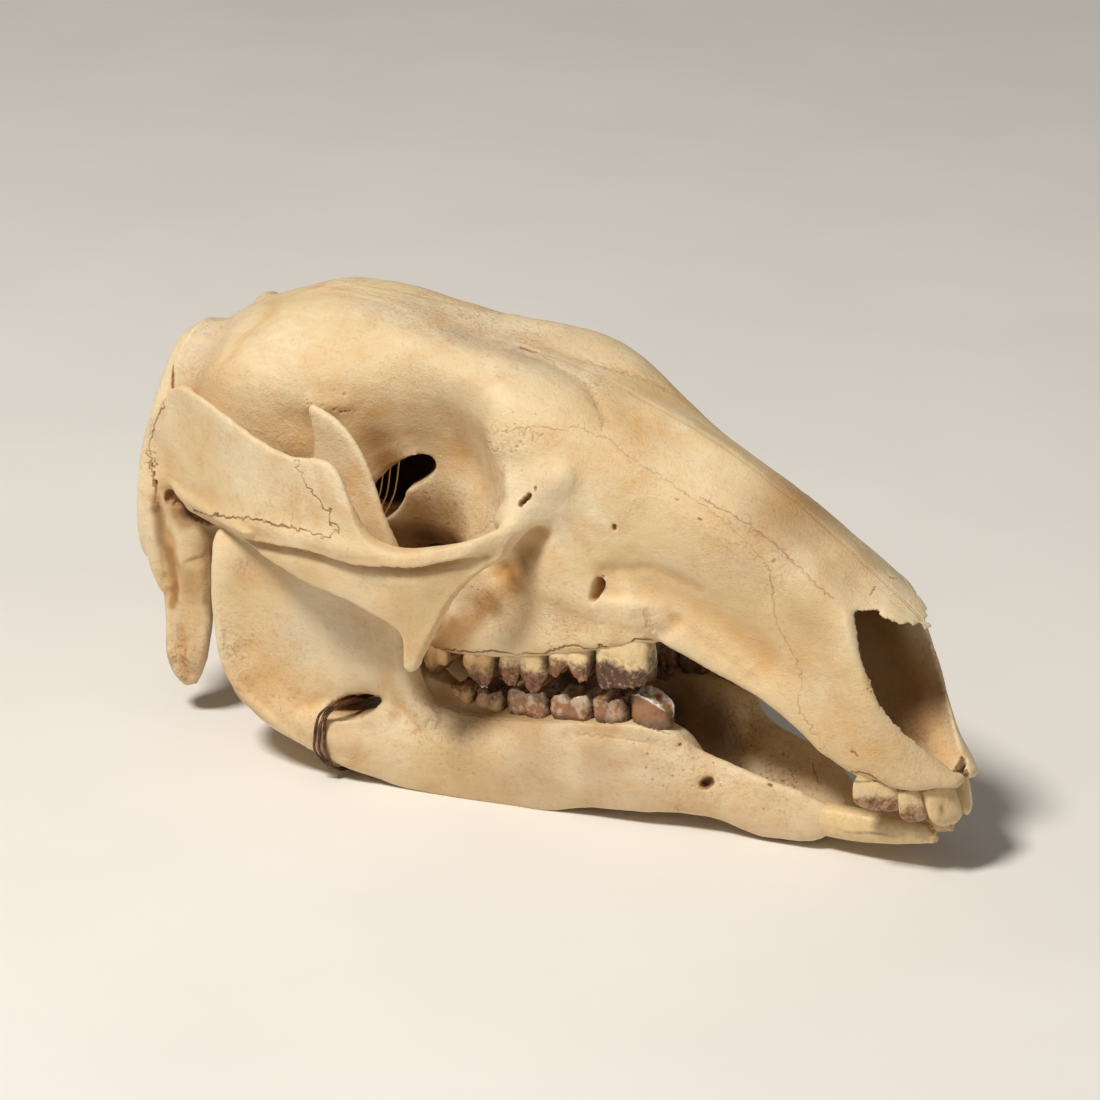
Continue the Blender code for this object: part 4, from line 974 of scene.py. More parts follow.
# Holes and pits: path, radius, depth, stain. In the wider holes the stain covers the floor as painted shade.
HOLES = [
    ([(0.8, -21.9, 38.3), (2.4, -21.7, 36.7), (4.8, -21.3, 35.2)], 0.75, 1.7, 0.3),
    ([(4.6, -21.3, 35.2), (6.6, -20.9, 34.1), (8.6, -20, 33)], 0.4, 1.2, 0.8),
    ([(141.4, -0.1, 17.8), (143.3, -0.1, 15.8), (143.3, -0.1, 14.3)], 0.5, 1.8, 0.85),
    ([(-2.6, -21.9, 43.4), (-2.5, -21.9, 43.2)], 0.18, 0.5, 0.8),
    ([(-2.2, -22, 41.9), (-2.1, -22, 41.7)], 0.18, 0.5, 0.8),
    ([(-1.7, -22.1, 40.4), (-1.6, -22.1, 40.1)], 0.22, 0.5, 0.8),
    ([(9.2, -25, 38.9), (9.5, -25.1, 38.9)], 0.2, 0.4, 0.8),
    ([(10.2, -25.6, 39.1), (10.4, -25.7, 39.1)], 0.18, 0.4, 0.8),
    ([(16.6, -29.2, 41), (17.6, -29.7, 41.2)], 0.22, 0.4, 0.8),
    ([(57.6, 0, 70.1), (60.8, 0, 69.9)], 0.36, 1.3, 1),
    ([(53, 0, 70.4), (57.6, 0, 70.1)], 0.15, 0.2, 0.3),
    ([(72.7, -21.4, 52.2), (73.7, -21, 53.8)], 0.38, 1.6, 0.8),
    ([(74.6, -20.4, 54.9), (74.8, -20.3, 55.3)], 0.2, 0.5, 0.7),
    ([(86.1, -15, 49.3), (86.1, -15, 49.9)], 0.36, 0.7, 0.65),
    ([(95.2, -11.3, 54.8), (95.5, -11.2, 54.8)], 0.16, 0.25, 0.3),
    ([(99.6, -11.1, 52.3), (99.9, -11.1, 52.3)], 0.2, 0.4, 0.45),
    ([(112.5, -9.8, 47.8), (112.8, -9.7, 47.8)], 0.24, 0.4, 0.45),
    ([(92.8, -15.6, 36.4), (93, -15.4, 34.6), (93.5, -15.2, 33.2)], 0.5, 0.35, 0.16),
    ([(140.4, -0.9, 17.4), (140.8, -0.7, 16.6)], 0.4, 0.8, 0.8),
    ([(128.6, -10.9, 19.4), (129.3, -10.8, 19.2)], 0.2, 0.3, 0.6),
    ([(127.2, -4.2, 43.4), (126.9, -2.2, 44.3)], 0.12, 0.14, 0.35),
    ([(120, -2.3, 19.4), (127, -2.3, 15.2)], 0.85, 1.8, 0.9),
    ([(78, -6.4, 31.2), (80.5, -6.2, 31.2)], 0.5, 0.9, 0.8),
    ([(30, -8.6, 30.6), (32, -8.8, 31.4)], 0.8, 1.6, 1),
    ([(-1, -9.6, 27.8), (0.6, -9.9, 27.6)], 0.6, 1.2, 1),
    ([(20.4, -21.6, 50.4), (20.9, -21.6, 50)], 0.3, 0.5, 0.7),
]
PIT_FIELDS = [
    # scattered pits: centre, radius of the field, number, pit radius, depth, stain
    ((68, -18.2, 61.6), 4, 30, 0.16, 0.2, 0.3),
    ((62, -18.4, 31), 3.6, 26, 0.15, 0.18, 0.25),
    ((33, -18.6, 59.6), 4.2, 22, 0.18, 0.25, 0.22),
    ((-2.6, -21.7, 44), 2.4, 10, 0.16, 0.25, 0.5),
    ((2.6, -14, 62), 5, 14, 0.11, 0.12, 0.3),
    ((78, -17.8, 32), 6, 18, 0.12, 0.12, 0.25),
    ((110, -9.6, 47.4), 6, 22, 0.12, 0.1, 0.25),
    ((131, 0, 17), 5, 34, 0.15, 0.16, 0.5),
    ((44, -12, 50), 6.5, 12, 0.1, 0.1, 0.2),
    ((52, -10.4, 44), 5, 16, 0.11, 0.12, 0.25),
    ((0, -19.6, 8), 4, 14, 0.16, 0.2, 0.4),
    ((133, -9.6, 30), 3, 5, 0.14, 0.15, 0.4),
]

# Coloured areas: centre, radius, strength.
OCHRE = [
    ((70, -18.4, 34), 6.5, 0.5), ((80, -17.6, 33), 5, 0.8), ((62, -19, 36), 5, 0.4),
    ((84, -8, 64.2), 6.5, 0.7), ((76, -15, 62), 4, 0.6), ((33, -18.4, 59), 5.5, 0.8),
    ((44, -12.6, 62), 5, 0.5), ((128, -10.6, 24), 6.5, 0.6), ((121, -10.6, 33), 6, 0.4),
    ((8, -19, 60), 7, 0.55), ((22, -20, 58), 6, 0.45), ((40, -36.4, 50), 4.5, 0.35),
    ((58, -34, 34), 4, 0.4), ((0.8, -21.8, 36), 3.4, 0.7), ((2, -20, 24), 6, 0.5),
    # The spot at (37.6, -16.4, 58) on the next line is painted shade on the orbit wall beside the fissure.
    ((140, -3, 18), 4, 0.6), ((103, -5, 57), 5, 0.35), ((37.6, -16.4, 58), 6, 0.9),
    ((132, -9.6, 22), 8, 0.6), ((124, -10.6, 24), 7, 0.45), ((2, -20.6, 10), 5, 0.5),
    ((2, -20, 5), 3, 0.9), ((60, -32.6, 28), 4, 0.5), ((72, -20, 45), 4, 0.3),
    ((48, -11, 60), 4, 0.4), ((30, -19.4, 54), 5, 0.4), ((16, -28, 37), 5, 0.4),
    ((42, -36, 40), 5, 0.35), ((110, -10.2, 30), 8, 0.25),
]
ROUGH = [
    ((36, -4, 73), 7, 0.8), ((46, -4, 71.6), 7, 0.9), ((56, -4, 70.4), 6, 0.8),
    ((2, -10, 65.6), 6, 0.9), ((2, -17, 60), 5, 0.8), ((70, -18, 61.6), 4, 0.7),
    ((90, -12, 56.6), 5, 0.5), ((106, -9.6, 51), 6, 0.8), ((114, -9.6, 45.6), 4, 0.7),
    ((131, -3, 18), 7, 1), ((62, -16, 44), 6, 0.7), ((53, -10.4, 41), 5, 0.8),
    ((74, -2, 68), 5, 0.5), ((26, -20.6, 52), 6, 0.4), ((-4.4, -19, 48), 4, 0.6),
    ((78, -18, 31), 6, 0.9), ((93, -15.4, 33.4), 2.2, 0.9), ((68, -18.6, 33), 6, 1),
    ((86, -16.6, 32), 4, 0.7), ((1.6, -20.6, 8), 6, 1), ((72, -19, 38), 4, 0.8),
]
PALE = [
    ((18, -20, 66), 7, 0.9), ((14, -20.6, 61), 5, 0.6), ((56, -12.6, 66), 5, 0.5),
    ((70, -12, 66.6), 5, 0.5), ((118, -6, 50), 4, 0.7), ((106, -6, 56), 4, 0.5),
    ((89, -15.4, 37.6), 3.6, 0.8), ((100, -12.4, 33), 4, 0.4), ((24, -32.6, 52), 6, 0.4),
    # The spots at (73, -19.2, 41), (72, -18.8, 36) and (71, -18.6, 31) are painted light that lifts the
    # shadow band cast by the arch's root.
    ((50, -36.8, 36.8), 4, 0.4), ((92, -8, 60.6), 4, 0.5), ((73, -19.2, 41), 2.6, 0.8),
    ((72, -18.8, 36), 2.6, 0.8), ((71, -18.6, 31), 2.6, 0.6), ((62, -17, 58), 4, 0.4),
]
# Painted shade in hollows, in openings and under overhangs.
SHADE = [
    ((44, -8, 34), 6, 1), ((50, -9, 36), 5, 0.9), ((38, -10, 34), 5, 0.8),
    ((55, -18.4, 26), 3.4, 0.5), ((108, 0, 46), 9, 1),
    ((119, -3, 40), 7, 0.7), ((126, -5, 34), 5, 0.35), ((124, 0, 26), 5, 0.8),
    ((12, -21, 30), 6, 0.8), ((8, -22, 34.4), 3, 0.8), ((3.4, -20.4, 35.6), 2.6, 1),
    ((1.4, -20.6, 37.6), 1.8, 0.7),
    ((-5, 0, 38), 6, 0.9), ((41, 0, 32), 7, 1), ((83.6, -12.6, 38.6), 2.4, 0.5),
    ((50, -10.6, 42), 6, 0.5), ((45, -10, 41), 5, 0.6), ((47, -12, 56), 5, 0.25),
    ((4.6, -21, 22.4), 4, 0.34),
    ((39.2, -15, 54.6), 3.6, 0.5), ((40.4, -13.6, 50.7), 3, 0.6), ((6, 0, 40), 7, 0.8),
    ((69, -18.3, 37.6), 2.8, 0.8), ((64.4, -18.3, 32.4), 2.8, 0.7),
]
# Lines of painted shade without depth: path, radius, strength of the shade.
SHADE_LINES = [
    ([(-1.8, -22, 37.4), (-1, -22, 32), (0.2, -21.7, 27), (0.8, -21.4, 22), (0.2, -21.2, 18.6)], 1.1, 0.62),
    ([(0.6, -21.6, 26.4), (3.4, -21.5, 23.6), (6, -20.8, 22.4), (7, -20.2, 25)], 1.7, 0.36),
    ([(8.4, -20.4, 33.2), (7.6, -20, 28), (6.4, -19.8, 20)], 0.8, 0.4),
    ([(68, -19, 39.6), (71, -19.6, 43), (74, -19.6, 46.4)], 2, 0.28),
    ([(54.6, -18.4, 22), (58, -18.6, 26), (61.6, -18.6, 30.4), (66, -18.6, 34.8),
      (69.6, -18.6, 39.4), (71.6, -19, 43)], 2.8, 0.56),
    ([(54.6, -18.4, 23), (57.4, -18.6, 27)], 1.8, 0.7),
    ([(50, -10.4, 41), (45, -10.6, 42.6), (42, -11.4, 44)], 2.4, 0.5),
    ([(60, -34.4, 42.4), (66, -30.6, 44), (69.8, -27.4, 44.8)], 0.7, 0.4),
]
# Pink-brown stipple.
BLUSH = [
    ((62, -18.4, 31), 3, 0.6), ((52, -11, 42), 6, 0.7), ((60, -15, 42), 4, 0.6),
    ((47, -10, 44), 5, 0.7), ((107, -8.6, 52), 3.4, 0.6), ((113, -8.6, 48.6), 3, 0.6),
    ((70, -17, 64), 3, 0.4), ((46, -3, 71.4), 8, 0.5), ((58, -3, 70), 8, 0.5),
    ((72, -2, 68), 7, 0.4), ((30, -34.4, 47), 4, 0.5), ((38, -36.2, 48), 4, 0.5),
    ((20, -30, 50), 5, 0.25), ((-3.6, -20.6, 50), 3, 0.5), ((132, -2, 18), 6, 0.8),
    ((93.4, -15.6, 34), 2.4, 0.5), ((12, -20.4, 64), 5, 0.3), ((2, -21, 9), 5, 0.8),
    ((76, -17.8, 35), 5, 0.3), ((112.6, -10.6, 44), 2, 0.5), ((56, -35.8, 38), 3, 0.4),
]
# Cool grey on the crown of the head.
GREY = [
    ((50, 0, 71), 9, 0.7), ((62, 0, 69.6), 9, 0.6), ((38, 0, 73), 8, 0.5),
    ((2, -9, 66), 5, 0.7), ((4, -14, 62), 5, 0.7), ((5, -18, 58), 4, 0.6),
    ((93, -15.4, 34.6), 2.6, 0.5), ((75, -19, 54), 5, 0.25), ((20, -29.6, 36), 5, 0.4),
    ((98, -12.6, 44), 6, 0.25), ((-3, -21, 48), 4, 0.4),
]

# Steps in the surface: path, rise above it and its reach, fall below it and its reach, and the
# direction that tells which side is above. The last value is the shade under the step.
LEDGES = [
    # lower edge of the rim under the orbit
    ([(21.5, -30.2, 39), (27.6, -32.8, 39.7), (32.7, -34.6, 40.9), (39.4, -36.2, 42.2), (43.7, -36.5, 42),
      (47.8, -36.7, 41.9), (51.7, -36.5, 42.2), (55.1, -35.8, 42.7), (58.6, -35.1, 43.1), (61.6, -33.8, 43.6),
      (64.3, -32.2, 44.3), (66.9, -30.3, 44.8), (69.4, -28, 45.2)], 0.45, 1.2, 1.35, 1.6, (0, 0, 1), 0.6),
    # ragged step on the process beside the neck
    ([(1.8, -21.4, 24.6), (3.4, -21.6, 26.8), (5.4, -21.2, 27.9), (7, -20.6, 28.4), (8.2, -19.8, 30.4)],
     0.2, 1.2, 0.22, 1.4, (-0.3, 0, 1), 0.05),
    # front edge of the arch's lower process
    ([(73.4, -23.6, 49), (72.4, -25.1, 46.5), (71.7, -25.8, 44.2), (69.2, -28.1, 42), (66.8, -30, 39.5),
      (64.6, -31, 36.4), (62.4, -31.6, 31.8), (60.4, -32.2, 27.4)], 0.3, 1, 0.2, 1, (-0.7, -0.6, 0.4), 0),
    # edge of the flat crown of the head over the temple
    ([(16, -3, 72.4), (24.8, -2.4, 73.4), (30.4, -2.6, 73.5), (36, -3.4, 73.1), (41.4, -5.2, 72.5),
      (47.2, -8.2, 72.4), (52.8, -10.6, 72.1), (58, -12.4, 71.2)], 0.04, 1.2, 0.14, 2, (0, 0.8, 0.6), 0),
    # rim of the crest at the back
    ([(-1, -4, 67.2), (-0.6, -10, 65.6), (-1, -14.4, 61.4), (-1.6, -17, 57.4), (-2.4, -19.6, 52.4)],
     0.3, 1, 0.3, 1.6, (-1, 0, 0), 0.1),
]


def ledge_sides(surface, ledges):
    """For each step, how far every point is from it, its side from 0 below to 1 above, and its fade."""
    for ledge in ledges:
        line = surface.snap(ledge[0], 0.5)
        away, step = surface.offsets(line, 2.6 * max(ledge[2], ledge[4]))
        above = np.array(ledge[5]) / np.linalg.norm(ledge[5])
        ends = np.minimum(np.linalg.norm(surface.fold - line[0], axis=1),
                          np.linalg.norm(surface.fold - line[-1], axis=1))
        yield ledge, away, (1 + np.tanh(step @ above / 0.3)) / 2, ends


def step_ledges(surface, ledges):
    near = np.zeros(len(surface.points), bool)
    for ledge in ledges:
        near |= surface.distance(surface.snap(ledge[0], 0.5), 1.4) < 1.4
    surface.refine(near)
    amount = np.zeros(len(surface.points))
    for ledge, away, side, ends in ledge_sides(surface, ledges):
        high = ledge[1] * np.exp(-(away / ledge[2]) ** 2)
        low = ledge[3] * np.exp(-(away / ledge[4]) ** 2)
        amount += np.clip(ends / 4, 0, 1) * (side * high - (1 - side) * low)
    surface.push(amount)


def shade_ledges(surface, ledges):
    for ledge, away, side, ends in ledge_sides(surface, ledges):
        low = ledge[6] * np.clip(ends / 8, 0, 1) * (1 - side)
        surface.mark("shade", low * np.exp(-(away / ledge[4]) ** 2))


def jittered(path, wobble, seed):
    """A path with points added about every half millimetre and moved from side to side."""
    if not wobble:
        return path
    rough = np.array(path, float)
    length = np.linalg.norm(np.diff(rough, axis=0), axis=1).sum()
    line = spline(rough, max(int(length / 0.55), 3), False)
    shift = np.random.default_rng(SEED + seed).normal(0, wobble, line.shape)
    shift[0] = 0
    shift[-1] = 0
    if np.abs(rough[:, 1]).max() < 0.01:
        shift[:, 1] = np.abs(shift[:, 1]) * -1
    return line + shift


def scattered(field, seed):
    centre, radius, number, size, depth, stain_and_shade = field
    random = np.random.default_rng(SEED + seed)
    for _ in range(number):
        spot = np.array(centre) + random.normal(0, radius / 2, 3)
        spot[1] = min(spot[1], -0.2)
        yield spot, size * random.uniform(0.6, 1.5), depth * random.uniform(0.5, 1.3), stain_and_shade


# Rounds of finer triangles beside a cut, by their reach, and the width from which a cut has a floor.
CUT_REACHES = (0.75, 0.4)
WIDE_CUT = 0.3


def carve(surface, seams, holes, fields):
    """Cut seams, holes and pits into a surface, with finer triangles along them."""
    cuts = []
    for number, (path, width, depth, stain_and_shade, wobble) in enumerate(seams):
        cuts.append((surface.snap(jittered(path, wobble, number)), width, depth, stain_and_shade))
    for path, radius, depth, stain_and_shade in holes:
        cuts.append((surface.snap(path, 0.3), radius, depth, stain_and_shade))
    for number, field in enumerate(fields):
        for spot, radius, depth, stain_and_shade in scattered(field, 100 + number):
            point = surface.nearest(spot)
            cuts.append((np.array([point, point + (0.05, 0, 0.05)]), radius, depth, stain_and_shade))
    for reach in CUT_REACHES:
        near = np.zeros(len(surface.points), bool)
        for line, width, depth, stain_and_shade in cuts:
            far = reach + 1.6 * width
            near |= surface.distance(line, far) < far
        surface.refine(near)
    amount = np.zeros(len(surface.points))
    stains_and_shade = np.zeros(len(surface.points))
    grain = 0.75 + 0.35 * lattice_noise(surface.points, 1.3, 40)
    for line, width, depth, stain_and_shade in cuts:
        away = surface.distance(line, 3.2 * width + 0.3)
        crisp = 1 / (1 + np.exp(np.clip((away / width - 1) * 7, -30, 30)))
        soft = np.exp(-(away / width) ** 2)
        amount = np.maximum(amount, (soft if width < WIDE_CUT else crisp) * depth)
        # Seams and pits get a dark stain; in the wider cuts, the holes, it covers the floor as painted shade.
        fringe = np.exp(-(away / (1.3 * width + 0.04)) ** 2)
        rim = fringe if width < WIDE_CUT else np.maximum(crisp, 0.35 * fringe)
        stains_and_shade = np.maximum(stains_and_shade, stain_and_shade * rim)
    surface.push(-amount * np.clip(grain, 0.4, 1.2))
    surface.mark("stain_and_shade", stains_and_shade * np.clip(grain + 0.1, 0.3, 1.0))


def soften(surface, forms):
    amount = np.zeros(len(surface.points))
    for path, radius, depth in forms:
        away = surface.distance(surface.snap(path, 1.0), 2.6 * radius)
        amount -= depth * np.exp(-(away / radius) ** 2)
    surface.push(amount)


def shade_lines(surface, lines):
    for path, radius, strength in lines:
        away = surface.distance(surface.snap(path, 1.0), 2.6 * radius)
        uneven = 0.9 + 0.25 * lattice_noise(surface.points, 3.0, 41)
        surface.mark("shade", np.exp(-(away / radius) ** 2) * strength * uneven)


def areas(surface, name, spots):
    total = np.zeros(len(surface.points))
    for centre, radius, strength in spots:
        away = np.linalg.norm(surface.fold - np.array(centre), axis=1)
        total = np.maximum(total, strength * np.exp(-(away / radius) ** 2))
    surface.mark(name, total)


# Unevenness of the bone: height and grain of the large and the small bumps, grain of the finest,
# its height on smooth bone and what rough bone adds. A hollow of the given depth gets the full painted shade.
LARGE_BUMPS = (0.13, 7)
SMALL_BUMPS = (0.05, 2.3)
FINE_GRAIN = 0.9
FINE_SMOOTH = 0.012
FINE_ROUGH = 0.05
HOLLOW_ROUNDS = 30
HOLLOW_DEPTH = 0.5


def weather(surface):
    """Uneven bone surface at three sizes, and the values for painted shade in hollows and for lighter edges.
    """
    points = surface.points
    rough = surface.values["rough"]
    bumps = (LARGE_BUMPS[0] * lattice_noise(points, LARGE_BUMPS[1], 1)
             + SMALL_BUMPS[0] * lattice_noise(points, SMALL_BUMPS[1], 2))
    grain = lattice_noise(points, FINE_GRAIN, 3)
    surface.push(bumps + (FINE_SMOOTH + FINE_ROUGH * rough) * grain)
    surface.index()
    hollow = surface.hollows(HOLLOW_ROUNDS)
    surface.values["hollow"] = np.clip(hollow / HOLLOW_DEPTH, 0, 1)
    surface.values["edge"] = np.clip(-hollow / HOLLOW_DEPTH, 0, 1)


# Lower jaw: the same kinds of forms, seams, holes and areas as above.
JAW_FORMS = [
    # furrow beside the tooth row and the swelling under it
    ([(78.4, -16.9, 12.2), (83.7, -15.3, 13.4), (90.7, -14, 13.4), (96.2, -12.1, 12.4)], 1.3, 0.4),
    ([(60, -21.6, 7), (76, -18.6, 6), (92, -14.4, 6)], 3.5, -0.3),
    # front of the rising branch and the hollow behind it
    ([(56, -22, 12), (53, -22.8, 18), (51.4, -23.6, 27)], 1.6, -0.35),
    ([(45, -25, 26), (40, -26, 20)], 5, 0.4),
    # lip round the opening for the chewing muscle
    ([(47, -25, 11.6), (48.4, -24.2, 13.8), (49.8, -24.4, 17.4), (50.4, -24.4, 23)], 1.3, -0.4),
    ([(30, -28.8, 8.6), (36, -28.6, 7), (42, -27.6, 6)], 2.2, -0.5),
    # hollow of the outer face towards the rear edge
    ([(26, -29.4, 24), (30, -28.4, 18)], 5, 0.3),
    # front end of the jaw above the long front tooth
    ([(98, -11, 12.2), (106, -9, 9.8), (116, -6.6, 7.6)], 1.3, -0.3),
]
JAW_SEAMS = {
    "furrow": ([(80, -16.4, 12.4), (86, -15, 13), (92, -13.8, 12.9)], 0.22, 0.15, 0.15, 0.15),
    "gum": ([(56, -19.6, 12), (60.6, -18.6, 12.2), (66, -18, 12.3), (74, -16.8, 13.4), (81.6, -15.6, 14.8),
             (88, -14.4, 15.6), (92.7, -13.7, 15.6), (95.6, -12.8, 14.8)], 0.12, 0.2, 0.3, 0.12),
    "lower_strip": ([(41.7, -27.8, 2.8), (44.9, -27.2, 3.6), (46.2, -27, 4.6)], 0.25, 0.08, 0.2, 0.2),
}
JAW_HOLES = [
    ([(101.5, -11, 7.2), (102, -10.9, 7.5)], 0.85, 1.7, 0.9),
    ([(24, -21, 26), (27, -20.4, 25)], 1.3, 0.9, 1),
    ([(96.5, -11.4, 12.9), (96.7, -11.3, 12.9)], 0.25, 0.4, 0.7),
    ([(111.6, -7.8, 8.4), (111.8, -7.8, 8.3)], 0.22, 0.35, 0.7),
    ([(114.3, -2.5, 5.6), (112.9, -3.8, 6.6), (111.6, -5.2, 7.2)], 0.13, 0.18, 0.4),
    ([(110, -2, 5.6), (108.6, -3.2, 6.2)], 0.12, 0.15, 0.35),
]
JAW_PITS = [
    ((58, -21.8, 11), 6, 26, 0.12, 0.12, 0.3),
    ((21.4, -30.6, 18), 5, 10, 0.12, 0.1, 0.3),
    ((98, -7, 8), 7, 40, 0.13, 0.16, 0.4),
    ((110, -1.4, 2), 6, 30, 0.16, 0.2, 0.5),
    ((90, -8, 12), 5, 26, 0.13, 0.14, 0.4),
]
JAW_OCHRE = [
    ((48.4, -24.4, 15), 3.4, 0.8), ((50.4, -24.4, 22), 3, 0.6), ((40, -28, 6), 6, 0.55),
    ((24, -29.4, 12), 7, 0.5), ((66, -20.4, 4), 7, 0.4), ((88, -15, 9), 5, 0.4),
    ((108, -9.4, 4), 6, 0.5), ((118, -6.4, 5), 4, 0.5), ((22.6, -29, 32), 3, 0.7),
    ((47, -25, 44), 3, 0.4), ((100, -10.6, 5), 8, 0.4), ((112, -8, 3), 7, 0.4),
    ((60, -22, 3), 8, 0.35), ((34, -28.6, 12), 6, 0.3),
]
JAW_ROUGH = [
    ((58, -22, 10), 7, 0.8), ((54, -23.6, 16), 4, 0.6), ((21.4, -30.6, 17), 6, 0.7),
    ((98, -6, 8), 8, 0.8), ((112, -2, 4), 6, 0.9), ((88, -8, 12), 6, 0.6),
    ((46, -23, 50), 3, 0.4),
]
JAW_PALE = [
    ((34, -28.6, 24), 7, 0.5), ((75, -19, 8), 6, 0.35), ((94, -14.2, 4), 5, 0.5),
    ((36, -26, 52), 5, 0.4), ((30, -28.8, 8), 4, 0.4),
]
JAW_SHADE = [
    ((43, -21, 11), 5, 1), ((41, -16, 9), 7, 1), ((60, -11, 6), 9, 1),
    ((72, -9.4, 7), 9, 1), ((82, -8, 8), 8, 0.9), ((90, -6.4, 8), 6, 0.6),
    ((97, -5, 7), 5, 0.3), ((56, -16, 15), 4, 0.8), ((50, -13.6, 18), 4.4, 0.85), ((49, -24, 10.8), 1.6, 0.5),
]
JAW_BLUSH = [
    ((56, -22.4, 12.4), 5, 0.8), ((63, -20.6, 10.8), 4, 0.5), ((21, -30.7, 19), 3.4, 0.8),
    ((22.4, -30.8, 13), 3, 0.6), ((22, -29, 33), 2.4, 0.8), ((30, -29, 11), 5, 0.6),
    ((36, -28.4, 9), 4, 0.5), ((96, -6, 8), 8, 0.8), ((108, -3, 6), 6, 0.8),
    ((114, -7.6, 6), 4, 0.5), ((104, -9.8, 9.6), 3, 0.6), ((26, -28.8, 21), 5, 0.3),
    ((34, -28, 20), 4, 0.25), ((74, -9.4, 8), 8, 0.5), ((84, -8, 8), 8, 0.6),
]
JAW_GREY = [
    ((32, -28.4, 22), 6, 0.5), ((40, -26.4, 24), 6, 0.4), ((22, -29.4, 34), 3, 0.5),
    ((84, -16.2, 9), 5, 0.3), ((92, -14.2, 10), 3, 0.35), ((70, -20, 2), 6, 0.3),
]
# Rim round the opening for the chewing muscle, and the rear edge of the rising branch.
JAW_LEDGES = [
    ([(36.4, -28.9, 9.2), (38.4, -28.6, 9.4), (41, -28.2, 9.6), (44.5, -27.4, 10.4), (46.8, -26.8, 11.6)],
     0.15, 0.8, 0.3, 1.2, (0, 0, -1), 0.5),
    ([(18.8, -30.8, 25), (19.6, -31, 17.6), (23.6, -30.6, 11.2), (31.6, -29.6, 6.4)],
     0.2, 1.6, 0.35, 2.6, (-0.8, 0, -0.6), 0),
]

# Teeth, built as closed grids: rings up the side wall, then smaller rings over the crown.
AROUND = 128
WALL_RINGS = 44
CROWN_RINGS = 26
TOOTH_WEAR = 0.26


def closed_grid(rings):
    """Points and triangles of a closed body through rings, the last of which closes at its mean."""
    count = len(rings[0])
    points = np.vstack(rings + [rings[0].mean(axis=0)[None], rings[-1].mean(axis=0)[None]])
    k = np.arange(count)
    after = (k + 1) % count
    tris = []
    for row in range(len(rings) - 1):
        a = row * count
        b = a + count
        tris += [np.c_[a + k, a + after, b + after], np.c_[a + k, b + after, b + k]]
    bottom = len(points) - 2
    top = len(points) - 1
    last = (len(rings) - 1) * count
    tris += [np.c_[after, k, np.full(count, bottom)], np.c_[last + k, last + after, np.full(count, top)]]
    return points, np.vstack(tris)


# Cutting edges of the cheek teeth seen from the side: share of the length from back to front, and z.
UPPER_EDGES = [
    [(0, 20.6), (0.17, 19), (0.33, 17.2), (0.44, 16.4), (0.55, 18.2), (0.68, 19.4), (0.85, 19), (1, 20.6)],
    [(0, 21), (0.2, 19.8), (0.4, 17.8), (0.6, 16.7), (0.8, 16.9), (0.9, 18.6), (1, 20.6)],
    [(0, 21.4), (0.08, 19.7), (0.25, 18.6), (0.4, 18.3), (0.43, 20.4), (0.5, 21), (0.6, 19.4), (0.75, 18),
     (0.88, 18.6), (1, 21.2)],
    [(0, 23.4), (0.08, 21.9), (0.25, 21.7), (0.42, 23.9), (0.5, 24.4), (0.62, 23), (0.76, 21.8), (0.9, 22.4),
     (1, 25)],
    [(0, 25), (0.05, 22.9), (0.15, 21.6), (0.3, 21.8), (0.5, 22.2), (0.75, 22.7), (0.93, 23.3), (1, 26)],
]
LOWER_EDGES = [
    [(0, 14.2), (0.16, 15.2), (0.4, 15), (0.52, 14.4), (0.66, 15.1), (0.86, 15.4), (1, 14.4)],
    [(0, 14.4), (0.14, 16), (0.38, 15.9), (0.5, 15.3), (0.64, 15.8), (0.88, 16.2), (1, 14.8)],
    [(0, 15), (0.12, 17.2), (0.36, 17.5), (0.5, 16.8), (0.62, 17.3), (0.88, 17.8), (1, 16.2)],
    [(0, 16.2), (0.12, 17.8), (0.36, 18.2), (0.5, 17.4), (0.64, 18), (0.88, 19), (1, 17.4)],
    [(0, 17.4), (0.12, 19.2), (0.4, 19.4), (0.5, 18.4), (0.64, 19.4), (0.88, 19.8), (1, 18.2)],
    [(0, 19.8), (0.1, 21), (0.3, 21.2), (0.55, 20.7), (0.78, 19.9), (0.92, 18.9), (1, 17.2)],
]
CROWN_DISH = 0.5
# Narrowing at the neck, at the waist between two lobes and in a blade, and towards the tip.
NECK = 0.1
LOBED_WAIST = 0.13
BLADE_WAIST = 0.05
TIP_TAPER = 0.16
# Upright flutes of the upper teeth, and the painted shade in the gap at both ends of a tooth.
FLUTE_PITCH = 1.1
FLUTE_LOBED = 0.09
FLUTE_BLADE = 0.05
GAP_REACH = 0.65


